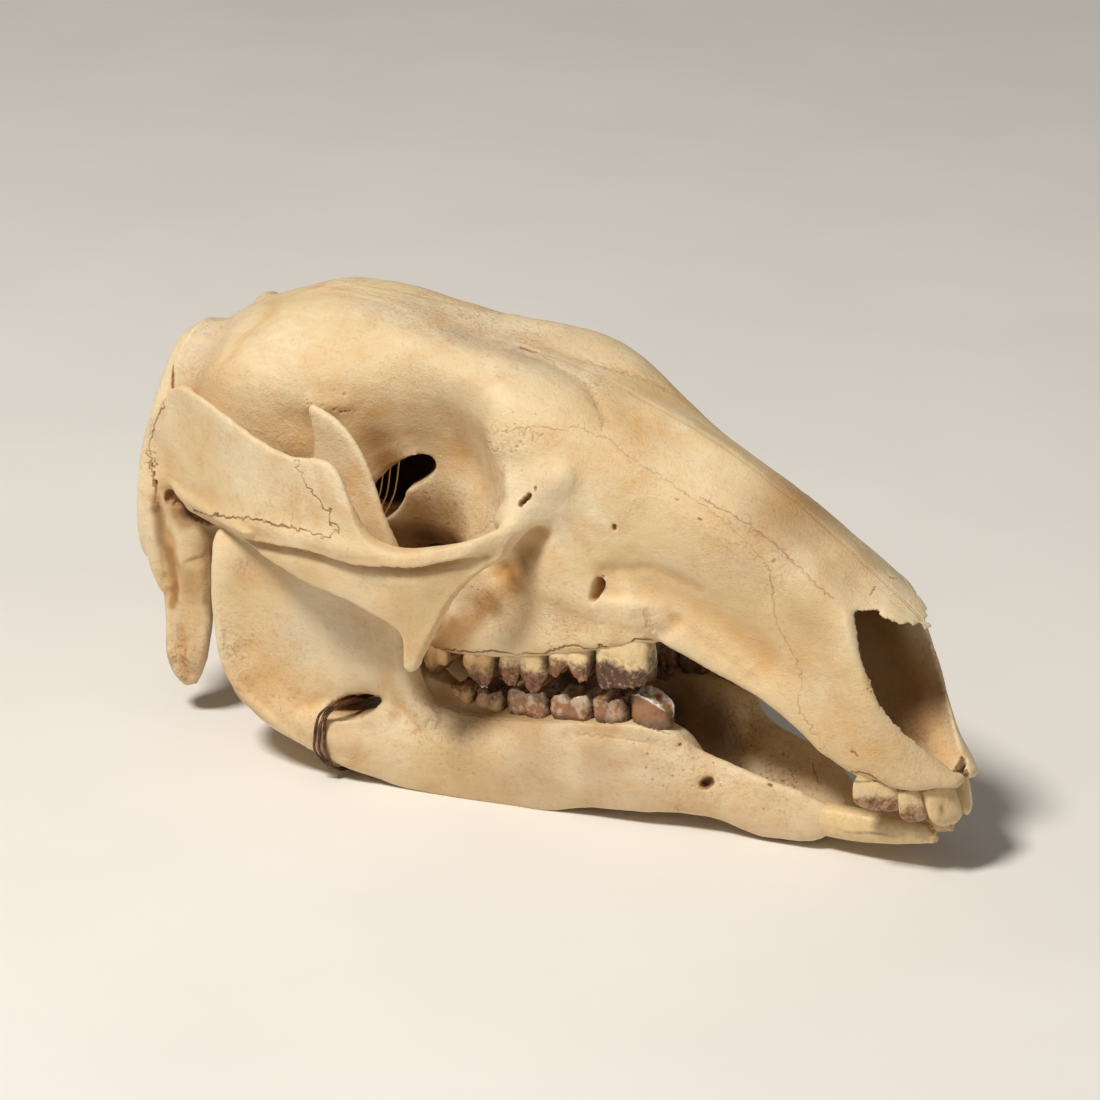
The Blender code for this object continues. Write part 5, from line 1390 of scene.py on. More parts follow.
def cheek_tooth(row, line, root, edges, seed):
    """One cheek tooth of the right side, with its crown share for each point."""
    rear, front, wide, gum, tip, lobes = row
    half_x = (front - rear) / 2 - 0.05
    half_y = wide / 2
    centre_x = (rear + front) / 2
    up = tip - gum
    angles = turns(AROUND)
    power = 0.5 if lobes == 2 else 0.6 if up < 0 else 0.95
    plan_x = squared(np.cos(angles), power)
    plan_y = squared(np.sin(angles), power)
    waist = LOBED_WAIST if lobes == 2 else BLADE_WAIST
    plan_y = plan_y * (1 - waist * np.exp(-(plan_x / 0.16) ** 2))
    arch = float(column(line, 1, centre_x)) - half_y
    edge_x = [rear + (front - rear) * point[0] for point in edges]
    edge_z = [point[1] for point in edges]

    def place_at(share_x, share_y, z):
        """Points over the plan at a height, narrower towards the tip and at the neck."""
        level = (z - gum) / up
        neck = 1 - NECK * np.exp(-((level + 0.02) / 0.16) ** 2)
        taper = (1 - TIP_TAPER * np.clip(level, 0, 1) ** 1.5) * neck
        taper = taper * (1 - 0.5 * np.clip(-level * 1.4, 0, 1))
        long = (1 - 1.6 * NECK * np.clip(0.5 - level, 0, 0.7)) * (1 - 0.25 * np.clip(-level * 1.4, 0, 1))
        x = centre_x + share_x * half_x * long
        middle = -(arch + (column(line, 1, x) - column(line, 1, centre_x)))
        return np.column_stack([x, middle + share_y * half_y * taper, z])

    def top_z(share_x, share_y):
        cut = np.interp(centre_x + share_x * half_x, edge_x, edge_z)
        return cut - np.sign(up) * CROWN_DISH * (1 - np.clip(np.abs(share_y), 0, 1) ** 2)

    edge = np.interp(centre_x + plan_x * half_x, edge_x, edge_z)
    foot = gum + root
    rings = []
    for step in np.linspace(0, 1, WALL_RINGS):
        z = foot + (edge - foot) * step
        level = (z - gum) / up
        bulge = 1 + 0.03 * np.sin(math.pi * np.clip(level, 0, 1))
        rings.append(place_at(plan_x, plan_y * bulge, z))
    for step in np.linspace(0, 1, CROWN_RINGS)[1:-1]:
        share = (1 - step) ** 0.8
        rings.append(place_at(plan_x * share, plan_y * share, top_z(plan_x * share, plan_y * share)))
    points, tris = closed_grid(rings)
    if up < 0:
        tris = tris[:, ::-1]
    crown = (points[:, 2] - gum) / up
    wear = lattice_noise(points + seed, 0.9, 50) + 0.8 * lattice_noise(points + seed, 0.4, 51)
    points[:, 2] -= np.sign(up) * TOOTH_WEAR * np.clip(wear, -0.6, 1) * np.clip(crown * 1.8 - 0.6, 0, 1)
    away = point_normals(points, tris)
    swell = 0.13 if up < 0 else 0.2
    ripple = swell * lattice_noise(points + seed, 1.5, 52)
    ripple = ripple + 0.6 * swell * lattice_noise(points + seed, 0.6, 53)
    if up < 0:
        flute = np.sin(2 * math.pi * (points[:, 0] + 0.7 * lattice_noise(points, 1.4, 54)) / FLUTE_PITCH)
        high = FLUTE_BLADE if lobes == 1 else FLUTE_LOBED
        ripple = ripple + high * flute * np.clip(crown * 2 - 0.6, 0, 1)
    # Gap value: painted shade between neighbouring teeth and between two lobes, and on the lower teeth
    # painted shade on the inner side and a darker part towards the gum.
    ends = np.minimum(points[:, 0] - rear, front - points[:, 0])
    gap = np.exp(-(np.clip(ends, 0, 9) / GAP_REACH) ** 2)
    if lobes == 2:
        cleft = np.exp(-((points[:, 0] - centre_x + 0.25 * lattice_noise(points, 0.9, 55)) / 0.34) ** 2)
        gap = np.maximum(gap, (0.8 if up < 0 else 0.5) * cleft * np.clip(2 * crown - 0.5, 0.15, 1))
    if up > 0:
        inner = points[:, 1] + column(line, 1, points[:, 0])
        gap = np.maximum(gap, 0.9 * np.clip(inner / half_y - 1.3, 0, 0.6) / 0.6 * np.clip(1.3 - crown, 0, 1))
        gap = np.maximum(gap, 0.8 * np.clip(0.32 - crown, 0, 0.3) / 0.3)
    lip = 1 - np.abs(np.interp(points[:, 0], edge_x, edge_z) - points[:, 2]) / abs(up)
    if up < 0:
        lip = lip * np.clip(2.4 * crown - 1.3, 0, 1)
    return points + away * ripple[:, None], tris, {"crown": crown, "gap": gap, "lip": lip}


def incisor(row, seed):
    """One upper front tooth of the right side."""
    root = np.array(row[0:3])
    tip = np.array(row[3:6])
    wide_root, deep_root, wide_tip, deep_tip, turn, gum = row[6:12]
    ahead = (tip - root) / np.linalg.norm(tip - root)
    around = np.array((math.cos(math.radians(turn)), math.sin(math.radians(turn)), 0.0))
    deep = np.cross(ahead, around)
    angles = turns(AROUND)
    side = squared(np.cos(angles), 0.8)
    face = squared(np.sin(angles), 0.85)
    rings = []
    shares = np.concatenate([np.linspace(-0.08, 0.8, 42), 0.8 + 0.2 * np.sin(np.linspace(0.1, 1.55, 22))])
    for share in shares:
        neck = 1 - 0.12 * np.exp(-((share - 0.02) / 0.1) ** 2)
        bent = 0.35 * math.sin(math.pi * np.clip(share, 0, 1))
        centre = root + (tip - root) * share + deep * bent * (-1 if deep[1] > 0 else 1)
        wide = (wide_root + (wide_tip - wide_root) * share) / 2
        thick = (deep_root + (deep_tip - deep_root) * share) / 2
        swell = 1 + 0.05 * math.sin(math.pi * np.clip(share * 1.3 - 0.1, 0, 1))
        end = math.sqrt(max(1 - max((share - 0.74) / 0.265, 0) ** 2, 0.0))
        rings.append(centre + np.outer(wide * swell * neck * side * (0.12 + 0.88 * end), around)
                     + np.outer(thick * neck * face * max(end, 0.16), deep))
    points, tris = closed_grid(rings)
    crown = ((points - root) @ ahead) / np.linalg.norm(tip - root)
    wear = lattice_noise(points + seed, 1.4, 60) + 0.6 * lattice_noise(points + seed, 0.6, 61)
    points = points - np.outer(0.08 * np.clip(wear, -0.5, 1) * np.clip(crown * 3 - 2, 0, 1), ahead)
    ripple = 0.05 * lattice_noise(points + seed, 1.8, 62) + 0.02 * lattice_noise(points + seed, 0.6, 63)
    side_share = ((points - root) @ around) / (wide_tip / 2)
    crack = 0.12 * lattice_noise(points + seed, 1.2, 64)
    gap = 0.85 * np.exp(-((crown - 0.6) / 0.12) ** 2 - ((side_share + crack) / 0.16) ** 2)
    gap = np.maximum(gap, 0.9 * np.exp(-((crown - gum) / 0.035) ** 2))
    points = points + point_normals(points, tris) * ripple[:, None]
    return points, tris, {"crown": crown, "gap": gap, "lip": 0 * crown}


def lower_incisor():
    """The long front tooth of the right lower jaw, with its share along the tooth."""
    nodes = spline(LOWER_INCISOR, 90, False)
    nodes[:, 3] = np.maximum(nodes[:, 3], 0.25)
    angles = turns(AROUND)
    side = squared(np.cos(angles), 0.8)
    tall = squared(np.sin(angles), 0.9)
    rings = []
    for row in nodes:
        rings.append(np.column_stack([np.full(AROUND, row[0]), row[1] + LOWER_INCISOR_FLAT * row[3] * side,
                                      row[2] + row[3] * tall]))
    points, tris = closed_grid(rings)
    share = (points[:, 0] - nodes[0, 0]) / (nodes[-1, 0] - nodes[0, 0])
    wear = lattice_noise(points, 1.2, 70) + 0.8 * lattice_noise(points, 0.5, 71)
    points[:, 0] -= 0.5 * np.clip(wear, -0.4, 1) * np.clip(share * 6 - 5, 0, 1)
    ripple = 0.05 * lattice_noise(points * (0.4, 1, 1), 1.0, 72) + 0.03 * lattice_noise(points, 0.6, 73)
    points = points + point_normals(points, tris) * ripple[:, None]
    points[:, 1] = np.minimum(points[:, 1], -SYMPHYSIS_GAP)
    points[:, 2] = np.maximum(points[:, 2], FLOOR_Z + 0.6)
    socket = 0.9 * np.exp(-((share - 0.14 + 0.015 * lattice_noise(points, 1.2, 74)) / 0.018) ** 2)
    along = np.exp(-((share - 0.62) / 0.16) ** 2)
    middle = spline(LOWER_INCISOR, 90, False)
    height = points[:, 2] - np.interp(points[:, 0], middle[:, 0], middle[:, 2])
    streak = 0.75 * along * np.exp(-((height + 0.3 + 0.4 * lattice_noise(points, 1.6, 75)) / 0.3) ** 2)
    return points, tris, {"crown": share, "gap": np.maximum(socket, streak), "lip": 0 * share}


def strand(path, radius):
    """A thin round rod along a line."""
    angles = turns(STRAND_SIDES)
    rings = []
    side = None
    for i, point in enumerate(path):
        ahead = path[min(i + 1, len(path) - 1)] - path[max(i - 1, 0)]
        ahead = ahead / np.linalg.norm(ahead)
        start = np.array((0.0, 1.0, 0.2)) if side is None else side
        side = start - (start @ ahead) * ahead
        side /= np.linalg.norm(side)
        other = np.cross(ahead, side)
        rings.append(point + radius * (np.outer(np.cos(angles), side) + np.outer(np.sin(angles), other)))
    return *closed_grid(rings), {}


# Copper wire: each strand goes down the jaw's outer side, under it and back through the opening.
STRAND_RADIUS = 0.24
STRAND_POINTS = 260
STRANDS = [
    [(39.6, -29.2, 12), (37.9, -29.6, 10.5), (37.2, -29.8, 8.6), (36.8, -29.8, 6.2), (36.7, -29.6, 3.4)],
    [(40.7, -28.9, 12.4), (38.8, -29.4, 10.8), (38.1, -29.7, 8.9), (37.7, -29.7, 6.4), (37.6, -29.5, 3.6)],
    [(41.7, -28.6, 12.8), (39.8, -29.2, 11.3), (38.9, -29.5, 9.8), (38.6, -29.5, 7.4), (38.5, -29.3, 4.4)],
]
STRAND_RETURN = [
    (38.6, -28, 0.7), (39, -25, -0.75), (39.4, -18, -0.95), (39.8, -13.8, -0.2), (40.4, -12.2, 4),
    (41, -12.6, 9), (41.6, -16, 11.6), (42, -21, 12), (41.6, -26, 12.4),
]
STRAND_STEP = 0.45


def wire_strands():
    for number, front in enumerate(STRANDS):
        shift = np.array((STRAND_STEP * (number - 1), 0.0, 0.12 * (number % 2)))
        back = np.array(STRAND_RETURN) + shift
        path = spline(np.vstack([front, back]), STRAND_POINTS, True)
        yield strand(np.vstack([path, path[:2]]), STRAND_RADIUS)


# Slender struts of bone left in the orbit's opening.
STRUTS = [
    [(35.2, -11.4, 39.4), (36.8, -11, 43), (38, -11.4, 47.8)],
    [(36, -11.2, 39), (37.9, -10.6, 43), (39.3, -11.2, 48.6)],
    [(37, -11, 38.4), (39.2, -10.2, 43.4), (41, -11, 50.2)],
]
STRUT_RADIUS = 0.13
STRUT_POINTS = 24


class Nodes:
    """Short calls for building one material's nodes."""

    def __init__(self, name):
        self.material = bpy.data.materials.new(name)
        self.material.use_nodes = True
        self.tree = self.material.node_tree
        self.shader = self.tree.nodes["Principled BSDF"]
        self.place = self.tree.nodes.new("ShaderNodeTexCoord").outputs["Object"]

    def put(self, socket, value):
        if hasattr(value, "is_output"):
            self.tree.links.new(value, socket)
        else:
            socket.default_value = value

    def stretch(self, scale):
        node = self.tree.nodes.new("ShaderNodeMapping")
        self.put(node.inputs["Vector"], self.place)
        node.inputs["Scale"].default_value = scale
        return node.outputs["Vector"]

    def noise(self, size, detail=4.0, roughness=0.55, place=None, twist=0.0):
        """Noise with a grain of the given size in millimetres."""
        node = self.tree.nodes.new("ShaderNodeTexNoise")
        self.put(node.inputs["Vector"], place or self.place)
        node.inputs["Scale"].default_value = 1 / (size * MM)
        node.inputs["Detail"].default_value = detail
        node.inputs["Roughness"].default_value = roughness
        node.inputs["Distortion"].default_value = twist
        return node.outputs["Fac"]

    def value(self, name):
        node = self.tree.nodes.new("ShaderNodeAttribute")
        node.attribute_name = name
        return node.outputs["Fac"]

    def range(self, source, low, high, start=0.0, end=1.0):
        node = self.tree.nodes.new("ShaderNodeMapRange")
        node.interpolation_type = "SMOOTHSTEP"
        self.put(node.inputs["Value"], source)
        for name, number in (("From Min", low), ("From Max", high), ("To Min", start), ("To Max", end)):
            node.inputs[name].default_value = number
        return node.outputs["Result"]

    def maths(self, operation, first, second):
        node = self.tree.nodes.new("ShaderNodeMath")
        node.operation = operation
        self.put(node.inputs[0], first)
        self.put(node.inputs[1], second)
        return node.outputs[0]

    def times(self, first, second):
        return self.maths("MULTIPLY", first, second)

    def plus(self, first, second):
        return self.maths("ADD", first, second)

    def mix(self, amount, first, second):
        node = self.tree.nodes.new("ShaderNodeMix")
        node.data_type = "RGBA"
        self.put(node.inputs["Factor"], amount)
        self.put(node.inputs["A"], first)
        self.put(node.inputs["B"], second)
        return node.outputs["Result"]

    def bump(self, height, strength, distance):
        node = self.tree.nodes.new("ShaderNodeBump")
        self.put(node.inputs["Height"], height)
        node.inputs["Strength"].default_value = strength
        node.inputs["Distance"].default_value = distance * MM
        return node.outputs["Normal"]

    def finish(self, **values):
        for name, value in values.items():
            self.put(self.shader.inputs[name.replace("_", " ")], value)
        return self.material


def colour(red, green, blue):
    """Screen colour from 0 to 255 as linear red, green, blue and one."""
    def linear(part):
        part = part / 255
        return part / 12.92 if part <= 0.04045 else ((part + 0.055) / 1.055) ** 2.4
    return (linear(red), linear(green), linear(blue), 1.0)


BONE_LIGHT = colour(238, 218, 180)
BONE = colour(229, 201, 153)
BONE_TAN = colour(216, 174, 118)
OCHRE_AND_HOLLOW_SHADE = colour(208, 154, 84)
BONE_GREY = colour(200, 182, 158)
PAINTED_SHADE_AMBER = colour(150, 102, 38)
PAINTED_SHADE_DARK = colour(82, 46, 18)
STAIN_AND_SHADE = colour(58, 32, 16)
LIGHT_STAIN_AND_SHADE = colour(156, 104, 64)
PINK_BROWN = colour(152, 96, 72)


def bone_material():
    n = Nodes("bone")
    tone = n.mix(n.range(n.noise(16, 3, 0.5), 0.36, 0.66), BONE, BONE_LIGHT)
    tone = n.mix(n.range(n.noise(10, 5, 0.6, twist=0.6), 0.45, 0.72, 0.0, 0.7), tone, BONE_TAN)
    tone = n.mix(n.times(n.value("pale"), 0.65), tone, BONE_LIGHT)
    broken = n.range(n.noise(4.5, 5, 0.65, twist=0.8), 0.3, 0.7, 0.4, 1.0)
    tone = n.mix(n.times(n.value("ochre"), n.times(broken, 0.75)), tone, OCHRE_AND_HOLLOW_SHADE)
    streak = n.range(n.noise(1.5, 4, 0.6, n.stretch((0.12, 1.0, 1.0))), 0.45, 0.75, 0.0, 0.28)
    tone = n.mix(streak, tone, BONE_TAN)
    grey = n.times(n.value("grey"), n.range(n.noise(3.0, 5, 0.65), 0.25, 0.6, 0.35, 0.85))
    tone = n.mix(grey, tone, BONE_GREY)
    speckle = n.range(n.noise(0.7, 5, 0.75), 0.5, 0.64)
    clump = n.range(n.noise(3.6, 4, 0.65), 0.4, 0.62)
    everywhere = n.times(speckle, n.times(clump, 0.2))
    tone = n.mix(everywhere, tone, PINK_BROWN)
    blush = n.times(n.value("blush"), n.plus(n.times(speckle, 0.5), n.times(clump, 0.22)))
    tone = n.mix(blush, tone, PINK_BROWN)
    tone = n.mix(n.times(n.value("rough"), n.times(speckle, 0.25)), tone, PINK_BROWN)
    # Painted shade in the hollows of the surface.
    tone = n.mix(n.times(n.value("hollow"), 0.7), tone, OCHRE_AND_HOLLOW_SHADE)
    tone = n.mix(n.times(n.value("edge"), 0.35), tone, BONE_LIGHT)
    # Painted shade: amber for the lighter shade, dark brown for the deepest.
    shade = n.value("shade")
    tone = n.mix(n.range(shade, 0.0, 0.6, 0.0, 0.8), tone, PAINTED_SHADE_AMBER)
    tone = n.mix(n.range(shade, 0.6, 1.0, 0.0, 0.85), tone, PAINTED_SHADE_DARK)
    stain_and_shade = n.value("stain_and_shade")
    tone = n.mix(n.range(stain_and_shade, 0.05, 0.5, 0.0, 0.85), tone, LIGHT_STAIN_AND_SHADE)
    tone = n.mix(n.range(stain_and_shade, 0.45, 0.95, 0.0, 0.95), tone, STAIN_AND_SHADE)
    fine = n.plus(n.times(n.noise(0.35, 5, 0.7), 0.9), n.times(n.noise(1.6, 5, 0.65), 1.2))
    grain = n.plus(fine, n.times(n.value("rough"), n.times(n.noise(0.8, 4, 0.7), 1.6)))
    grain = n.plus(grain, n.times(n.value("blush"), n.times(speckle, -0.5)))
    polish = n.range(n.noise(5, 4, 0.6), 0.3, 0.7, 0.4, 0.58)
    return n.finish(Base_Color=tone, Roughness=polish, Normal=n.bump(grain, 0.9, 0.2),
                    Subsurface_Weight=0.15, Subsurface_Radius=(1.0, 0.5, 0.25), Subsurface_Scale=0.0012)


def tooth_material(name, gum, body, end, start, full, gloss, rim=None, rim_start=0.86,
                   patches=None, amount=0.0):
    """Enamel that changes from the gum colour over the body to the end colour at the tip."""
    n = Nodes(name)
    scallop = n.times(n.plus(n.noise(2.2, 4, 0.6), -0.5), 0.55)
    level = n.plus(n.value("crown"), scallop)
    tone = n.mix(n.range(level, -0.1, 0.3), gum, body)
    tone = n.mix(n.range(level, start, full), tone, end)
    mottle = n.range(n.noise(1.1, 5, 0.75, twist=0.6), 0.46, 0.56)
    tone = n.mix(n.times(mottle, n.range(level, start - 0.15, full, 0.1, 0.7)), tone, DEEP_BROWN)
    worn = n.range(n.noise(0.9, 5, 0.75, twist=0.4), 0.54, 0.62)
    tone = n.mix(n.times(worn, n.range(level, start, full, 0.0, 0.5)), tone, TAN)
    if patches is not None:
        tone = n.mix(n.times(n.range(n.noise(2.0, 3, 0.55), 0.48, 0.58), amount), tone, patches)
    if rim is not None:
        lip = n.plus(n.value("lip"), n.times(scallop, 0.4))
        tone = n.mix(n.range(lip, rim_start, rim_start + 0.07), tone, rim)
    streak = n.range(n.noise(0.6, 5, 0.7, n.stretch((1.0, 1.0, 0.15))), 0.5, 0.72, 0.0, 0.6)
    dark = n.times(streak, n.range(level, start - 0.2, full, 0.15, 0.8))
    tone = n.mix(dark, tone, STAIN_AND_SHADE)
    # Darkening by the gap value: painted shade between the cheek teeth, between their lobes and on the lower
    # teeth's inner side, and the incisors' cracks, socket lines and streaks.
    gap_breakup = n.range(n.noise(0.8, 5, 0.7), 0.35, 0.6, 0.45, 1.0)
    tone = n.mix(n.times(n.value("gap"), n.times(gap_breakup, 0.9)), tone, STAIN_AND_SHADE)
    grain = n.plus(n.noise(0.5, 5, 0.65), n.noise(0.9, 3, 0.6, n.stretch((1.0, 1.0, 0.2))))
    polish = n.range(n.noise(1.6, 4, 0.6), 0.3, 0.7, gloss, gloss + 0.2)
    return n.finish(Base_Color=tone, Roughness=polish, Normal=n.bump(grain, 0.5, 0.09),
                    Subsurface_Weight=0.1, Subsurface_Radius=(0.8, 0.6, 0.45), Subsurface_Scale=0.0008,
                    Coat_Weight=0.15, Coat_Roughness=0.15)


CREAM = colour(232, 204, 154)
TAN = colour(210, 168, 112)
BROWN = colour(140, 86, 50)
DARK_BROWN = colour(92, 54, 36)
DEEP_BROWN = colour(62, 34, 24)
WHITE = colour(236, 232, 224)
PEARL = colour(212, 192, 164)
PINK = colour(160, 110, 72)
GREY_BROWN = colour(156, 128, 98)
IVORY = colour(228, 198, 146)
IVORY_BROWN = colour(178, 126, 78)
IVORY_TAN = colour(214, 172, 112)


def tooth_materials():
    return {
        "upper": tooth_material("enamel_upper", CREAM, CREAM, BROWN, 0.3, 0.6, 0.3),
        "white_tip": tooth_material("enamel_white_tip", CREAM, TAN, BROWN, 0.36, 0.7, 0.28, WHITE, 0.88),
        "blade": tooth_material("enamel_blade", CREAM, CREAM, DARK_BROWN, 0.44, 0.66, 0.28),
        "rear": tooth_material("enamel_rear", TAN, TAN, BROWN, 0.55, 1.1, 0.4),
        "rough": tooth_material("enamel_rough", GREY_BROWN, TAN, GREY_BROWN, 0.3, 0.9, 0.35),
        "glossy": tooth_material("enamel_glossy", BROWN, PINK, PEARL, 0.5, 1.1, 0.12,
                                 patches=PEARL, amount=0.6),
        "porous": tooth_material("enamel_porous", DARK_BROWN, PINK, GREY_BROWN, 0.62, 1.0, 0.26,
                                 patches=PEARL, amount=0.45),
        "rimmed": tooth_material("enamel_rimmed", GREY_BROWN, PINK, PINK, 0.7, 1.2, 0.3, WHITE, 0.9,
                                 patches=GREY_BROWN, amount=0.5),
        "front": tooth_material("enamel_front", IVORY, IVORY, TAN, 0.95, 1.7, 0.26),
        "side": tooth_material("enamel_side", IVORY, IVORY, IVORY_BROWN, 0.4, 0.7, 0.22,
                               patches=PEARL, amount=0.35),
        "long": tooth_material("enamel_long", IVORY_TAN, IVORY, CREAM, 1.0, 1.6, 0.26),
    }


UPPER_STYLES = ["rear", "white_tip", "upper", "upper", "blade"]
LOWER_STYLES = ["rear", "rough", "glossy", "glossy", "porous", "rimmed"]
INCISOR_STYLES = ["front", "side", "side"]


def wire_material():
    n = Nodes("copper_wire")
    tone = n.mix(n.range(n.noise(2.5, 4, 0.6), 0.35, 0.65), colour(120, 84, 66), colour(66, 44, 36))
    tone = n.mix(n.range(n.noise(0.6, 4, 0.7), 0.56, 0.72), tone, colour(196, 150, 126))
    draw = n.noise(0.25, 3, 0.6, n.stretch((0.1, 1.0, 1.0)))
    return n.finish(Base_Color=tone, Metallic=0.75, Roughness=n.range(n.noise(1.5, 3), 0.3, 0.7, 0.32, 0.5),
                    Normal=n.bump(draw, 0.25, 0.03))


def floor_material():
    n = Nodes("paper")
    tone = n.mix(n.range(n.noise(60, 3, 0.5), 0.3, 0.7), FLOOR_COLOUR, FLOOR_SHADE)
    return n.finish(Base_Color=tone, Roughness=0.9, Normal=n.bump(n.noise(0.5, 3), 0.05, 0.05))


FLOOR_COLOUR = colour(236, 232, 226)
FLOOR_SHADE = colour(232, 228, 222)


def new_piece(name, points, tris, values, material, slot_name, group, nodes=()):
    """A visible piece: skull millimetres become frame metres, and it rides on the still body."""
    mesh = bpy.data.meshes.new(name)
    world = (points - (CENTRE_X, 0.0, FLOOR_Z)) * MM
    mesh.vertices.add(len(world))
    mesh.vertices.foreach_set("co", world.ravel())
    mesh.loops.add(3 * len(tris))
    mesh.loops.foreach_set("vertex_index", tris.ravel())
    mesh.polygons.add(len(tris))
    mesh.polygons.foreach_set("loop_start", np.arange(0, 3 * len(tris), 3))
    mesh.update(calc_edges=True)
    mesh.shade_smooth()
    for key, amount in values.items():
        layer = mesh.attributes.new(key, "FLOAT", "POINT")
        layer.data.foreach_set("value", np.asarray(amount, float))
    mesh.materials.append(material)
    item = bpy.data.objects.new(name, mesh)
    group.objects.link(item)
    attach(item, "root")
    if nodes:
        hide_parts(*nodes)


def flipped(points, tris):
    """The same body on the animal's other side."""
    return points * (1, -1, 1), tris[:, ::-1]


def surface_values(surface):
    return {name: surface.values[name] for name in VALUE_NAMES}


VALUE_NAMES = ("stain_and_shade", "ochre", "rough", "pale", "shade", "blush", "grey", "hollow", "edge")


def detail(surface, forms, ledges, seams, holes, fields, areas_of):
    soften(surface, forms)
    surface.index()
    step_ledges(surface, ledges)
    surface.index()
    carve(surface, seams, holes, fields)
    surface.index()
    for name, spots in areas_of.items():
        areas(surface, name, spots)
    shade_ledges(surface, ledges)
    weather(surface)


# Shade inside the nose and the braincase. The nose's rim is a line of z and x, and the shade
# grows behind it over a fade. A wall counts up to a share beyond the hollow's own size, which is
# squared for the braincase.
NOSE_SHADE = 0.6
NOSE_RIM_Z = [15, 20, 26, 34, 44]
NOSE_RIM_X = [139, 134.5, 131, 128.4, 126.5]
NOSE_FADE = 6.0
NOSE_START = 102
NOSE_END = 141
NOSE_REACH = 1.15
BRAIN_SHADE = 0.55
BRAIN_REACH = 1.12


def inside_nose(surface):
    """How deep each point of the nose's inner wall lies behind its rim, from 0 to 1."""
    points = surface.points
    x = points[:, 0]
    top, half, bottom = [column(NOSE_SECTIONS, i, x) for i in (1, 2, 3)]
    middle = np.column_stack([x, np.zeros(len(x)), (top + bottom) / 2])
    inward = ((middle - points) * point_normals(points, surface.tris)).sum(axis=1) > 0
    across = np.abs(points[:, 1]) / half
    tall = np.abs(points[:, 2] - middle[:, 2]) / ((top - bottom) / 2)
    wall = inward & (across < NOSE_REACH) & (tall < NOSE_REACH) & (x > NOSE_START) & (x < NOSE_END)
    rim_x = np.interp(points[:, 2], NOSE_RIM_Z, NOSE_RIM_X)
    return np.where(wall, np.clip((rim_x - x) / NOSE_FADE, 0, 1), 0)


def inside_brain(points):
    """1 on the wall of the braincase's hollow, and 0 elsewhere."""
    away = (points - BRAIN_HOLLOW[:3]) / BRAIN_HOLLOW[3:]
    return ((away ** 2).sum(axis=1) < BRAIN_REACH).astype(float)


def build_cranium(group, pieces, cutters):
    body = skull_body(group)
    lump("occiput_hollow", OCCIPUT_HOLLOW, cutters)
    combine(body, cutters, "DIFFERENCE")
    nasal_roof(pieces)
    for number, values in enumerate(MIDLINE_LUMPS):
        lump(f"base_{number}", values, pieces)
    right = [cheek_arch(pieces), tooth_bone(pieces), shelf(pieces)]
    right += [lump(f"side_{n}", values, pieces) for n, values in enumerate(SIDE_LUMPS)]
    right += [lump(f"arch_root_{n}", values, pieces, values[6]) for n, values in enumerate(ARCH_ROOTS)]
    right.append(tube("mastoid", MASTOID_PATH, pieces))
    right.append(tube("paroccipital", PAROCCIPITAL_PATH, pieces, flat=PAROCCIPITAL_FLAT))
    right.append(tube("pterygoid", PTERYGOID_PATH, pieces))
    for item in right:
        mirrored(item, pieces)
    combine(body, pieces, "UNION")
    nose_hollow(cutters)
    for number, values in enumerate(ORBIT_FISSURES):
        mirrored(lump(f"fissure_{number}", values, cutters, values[6]), cutters)
    infraorbital = lump("infraorbital", INFRAORBITAL, cutters, INFRAORBITAL[6])
    mirrored(infraorbital, cutters)
    lump("foramen_magnum", FORAMEN_MAGNUM, cutters)
    lump("foramen_canal", FORAMEN_CANAL, cutters, FORAMEN_CANAL[6])
    lump("choana", CHOANA, cutters)
    lump("brain_hollow", BRAIN_HOLLOW, cutters)
    combine(body, cutters, "DIFFERENCE")
    remesh(body, CRANIUM_VOXEL, BLEND_STEPS)
    keep_largest(body)
    return Surface(body)


def build_jaw(group, pieces, cutters):
    jaw = jaw_body(group)
    jaw_ramus(pieces)
    lump("condyle", CONDYLE, pieces)
    jaw_angle(pieces)
    combine(jaw, pieces, "UNION")
    lump("masseteric_hole", MASSETERIC_HOLE, cutters, MASSETERIC_HOLE[6])
    combine(jaw, cutters, "DIFFERENCE")
    remesh(jaw, JAW_VOXEL, BLEND_STEPS)
    keep_largest(jaw)
    return Surface(jaw)


def add_teeth(group, enamel):
    for number, (row, style) in enumerate(zip(UPPER_TEETH, UPPER_STYLES)):
        made = cheek_tooth(row, UPPER_ROW, TOOTH_ROOT, UPPER_EDGES[number], number)
        both_sides(f"upper_tooth_{number}", made, enamel[style], group)
    for number, (row, style) in enumerate(zip(LOWER_TEETH, LOWER_STYLES)):
        made = cheek_tooth(row, LOWER_ROW, -TOOTH_ROOT, LOWER_EDGES[number], 20 + number)
        both_sides(f"lower_tooth_{number}", made, enamel[style], group)
    for number, row in enumerate(UPPER_INCISORS):
        style = INCISOR_STYLES[number]
        both_sides(f"upper_incisor_{number}", incisor(row, 40 + number), enamel[style], group)
    both_sides("lower_incisor", lower_incisor(), enamel["long"], group)


def both_sides(name, made, material, group, slot_name="bone", nodes=((), ())):
    """A piece of the right side and its mirror image, each with the CAD nodes that it stands for."""
    points, tris, values = made
    new_piece(name + "_right", points, tris, values, material, slot_name, group, nodes[0])
    new_piece(name + "_left", *flipped(points, tris), values, material, slot_name, group, nodes[1])


# Camera, floor and light. The camera's angles and distance are those of the photograph.
CAMERA_TURN = 34.5
CAMERA_RAISE = 21.5
CAMERA_DISTANCE = 0.8
CAMERA_TARGET = Vector((-0.000544, -0.005, 0.039937))
LENS = 160.36


def look(item, target):
    item.rotation_euler = (target - item.location).to_track_quat("-Z", "Y").to_euler()


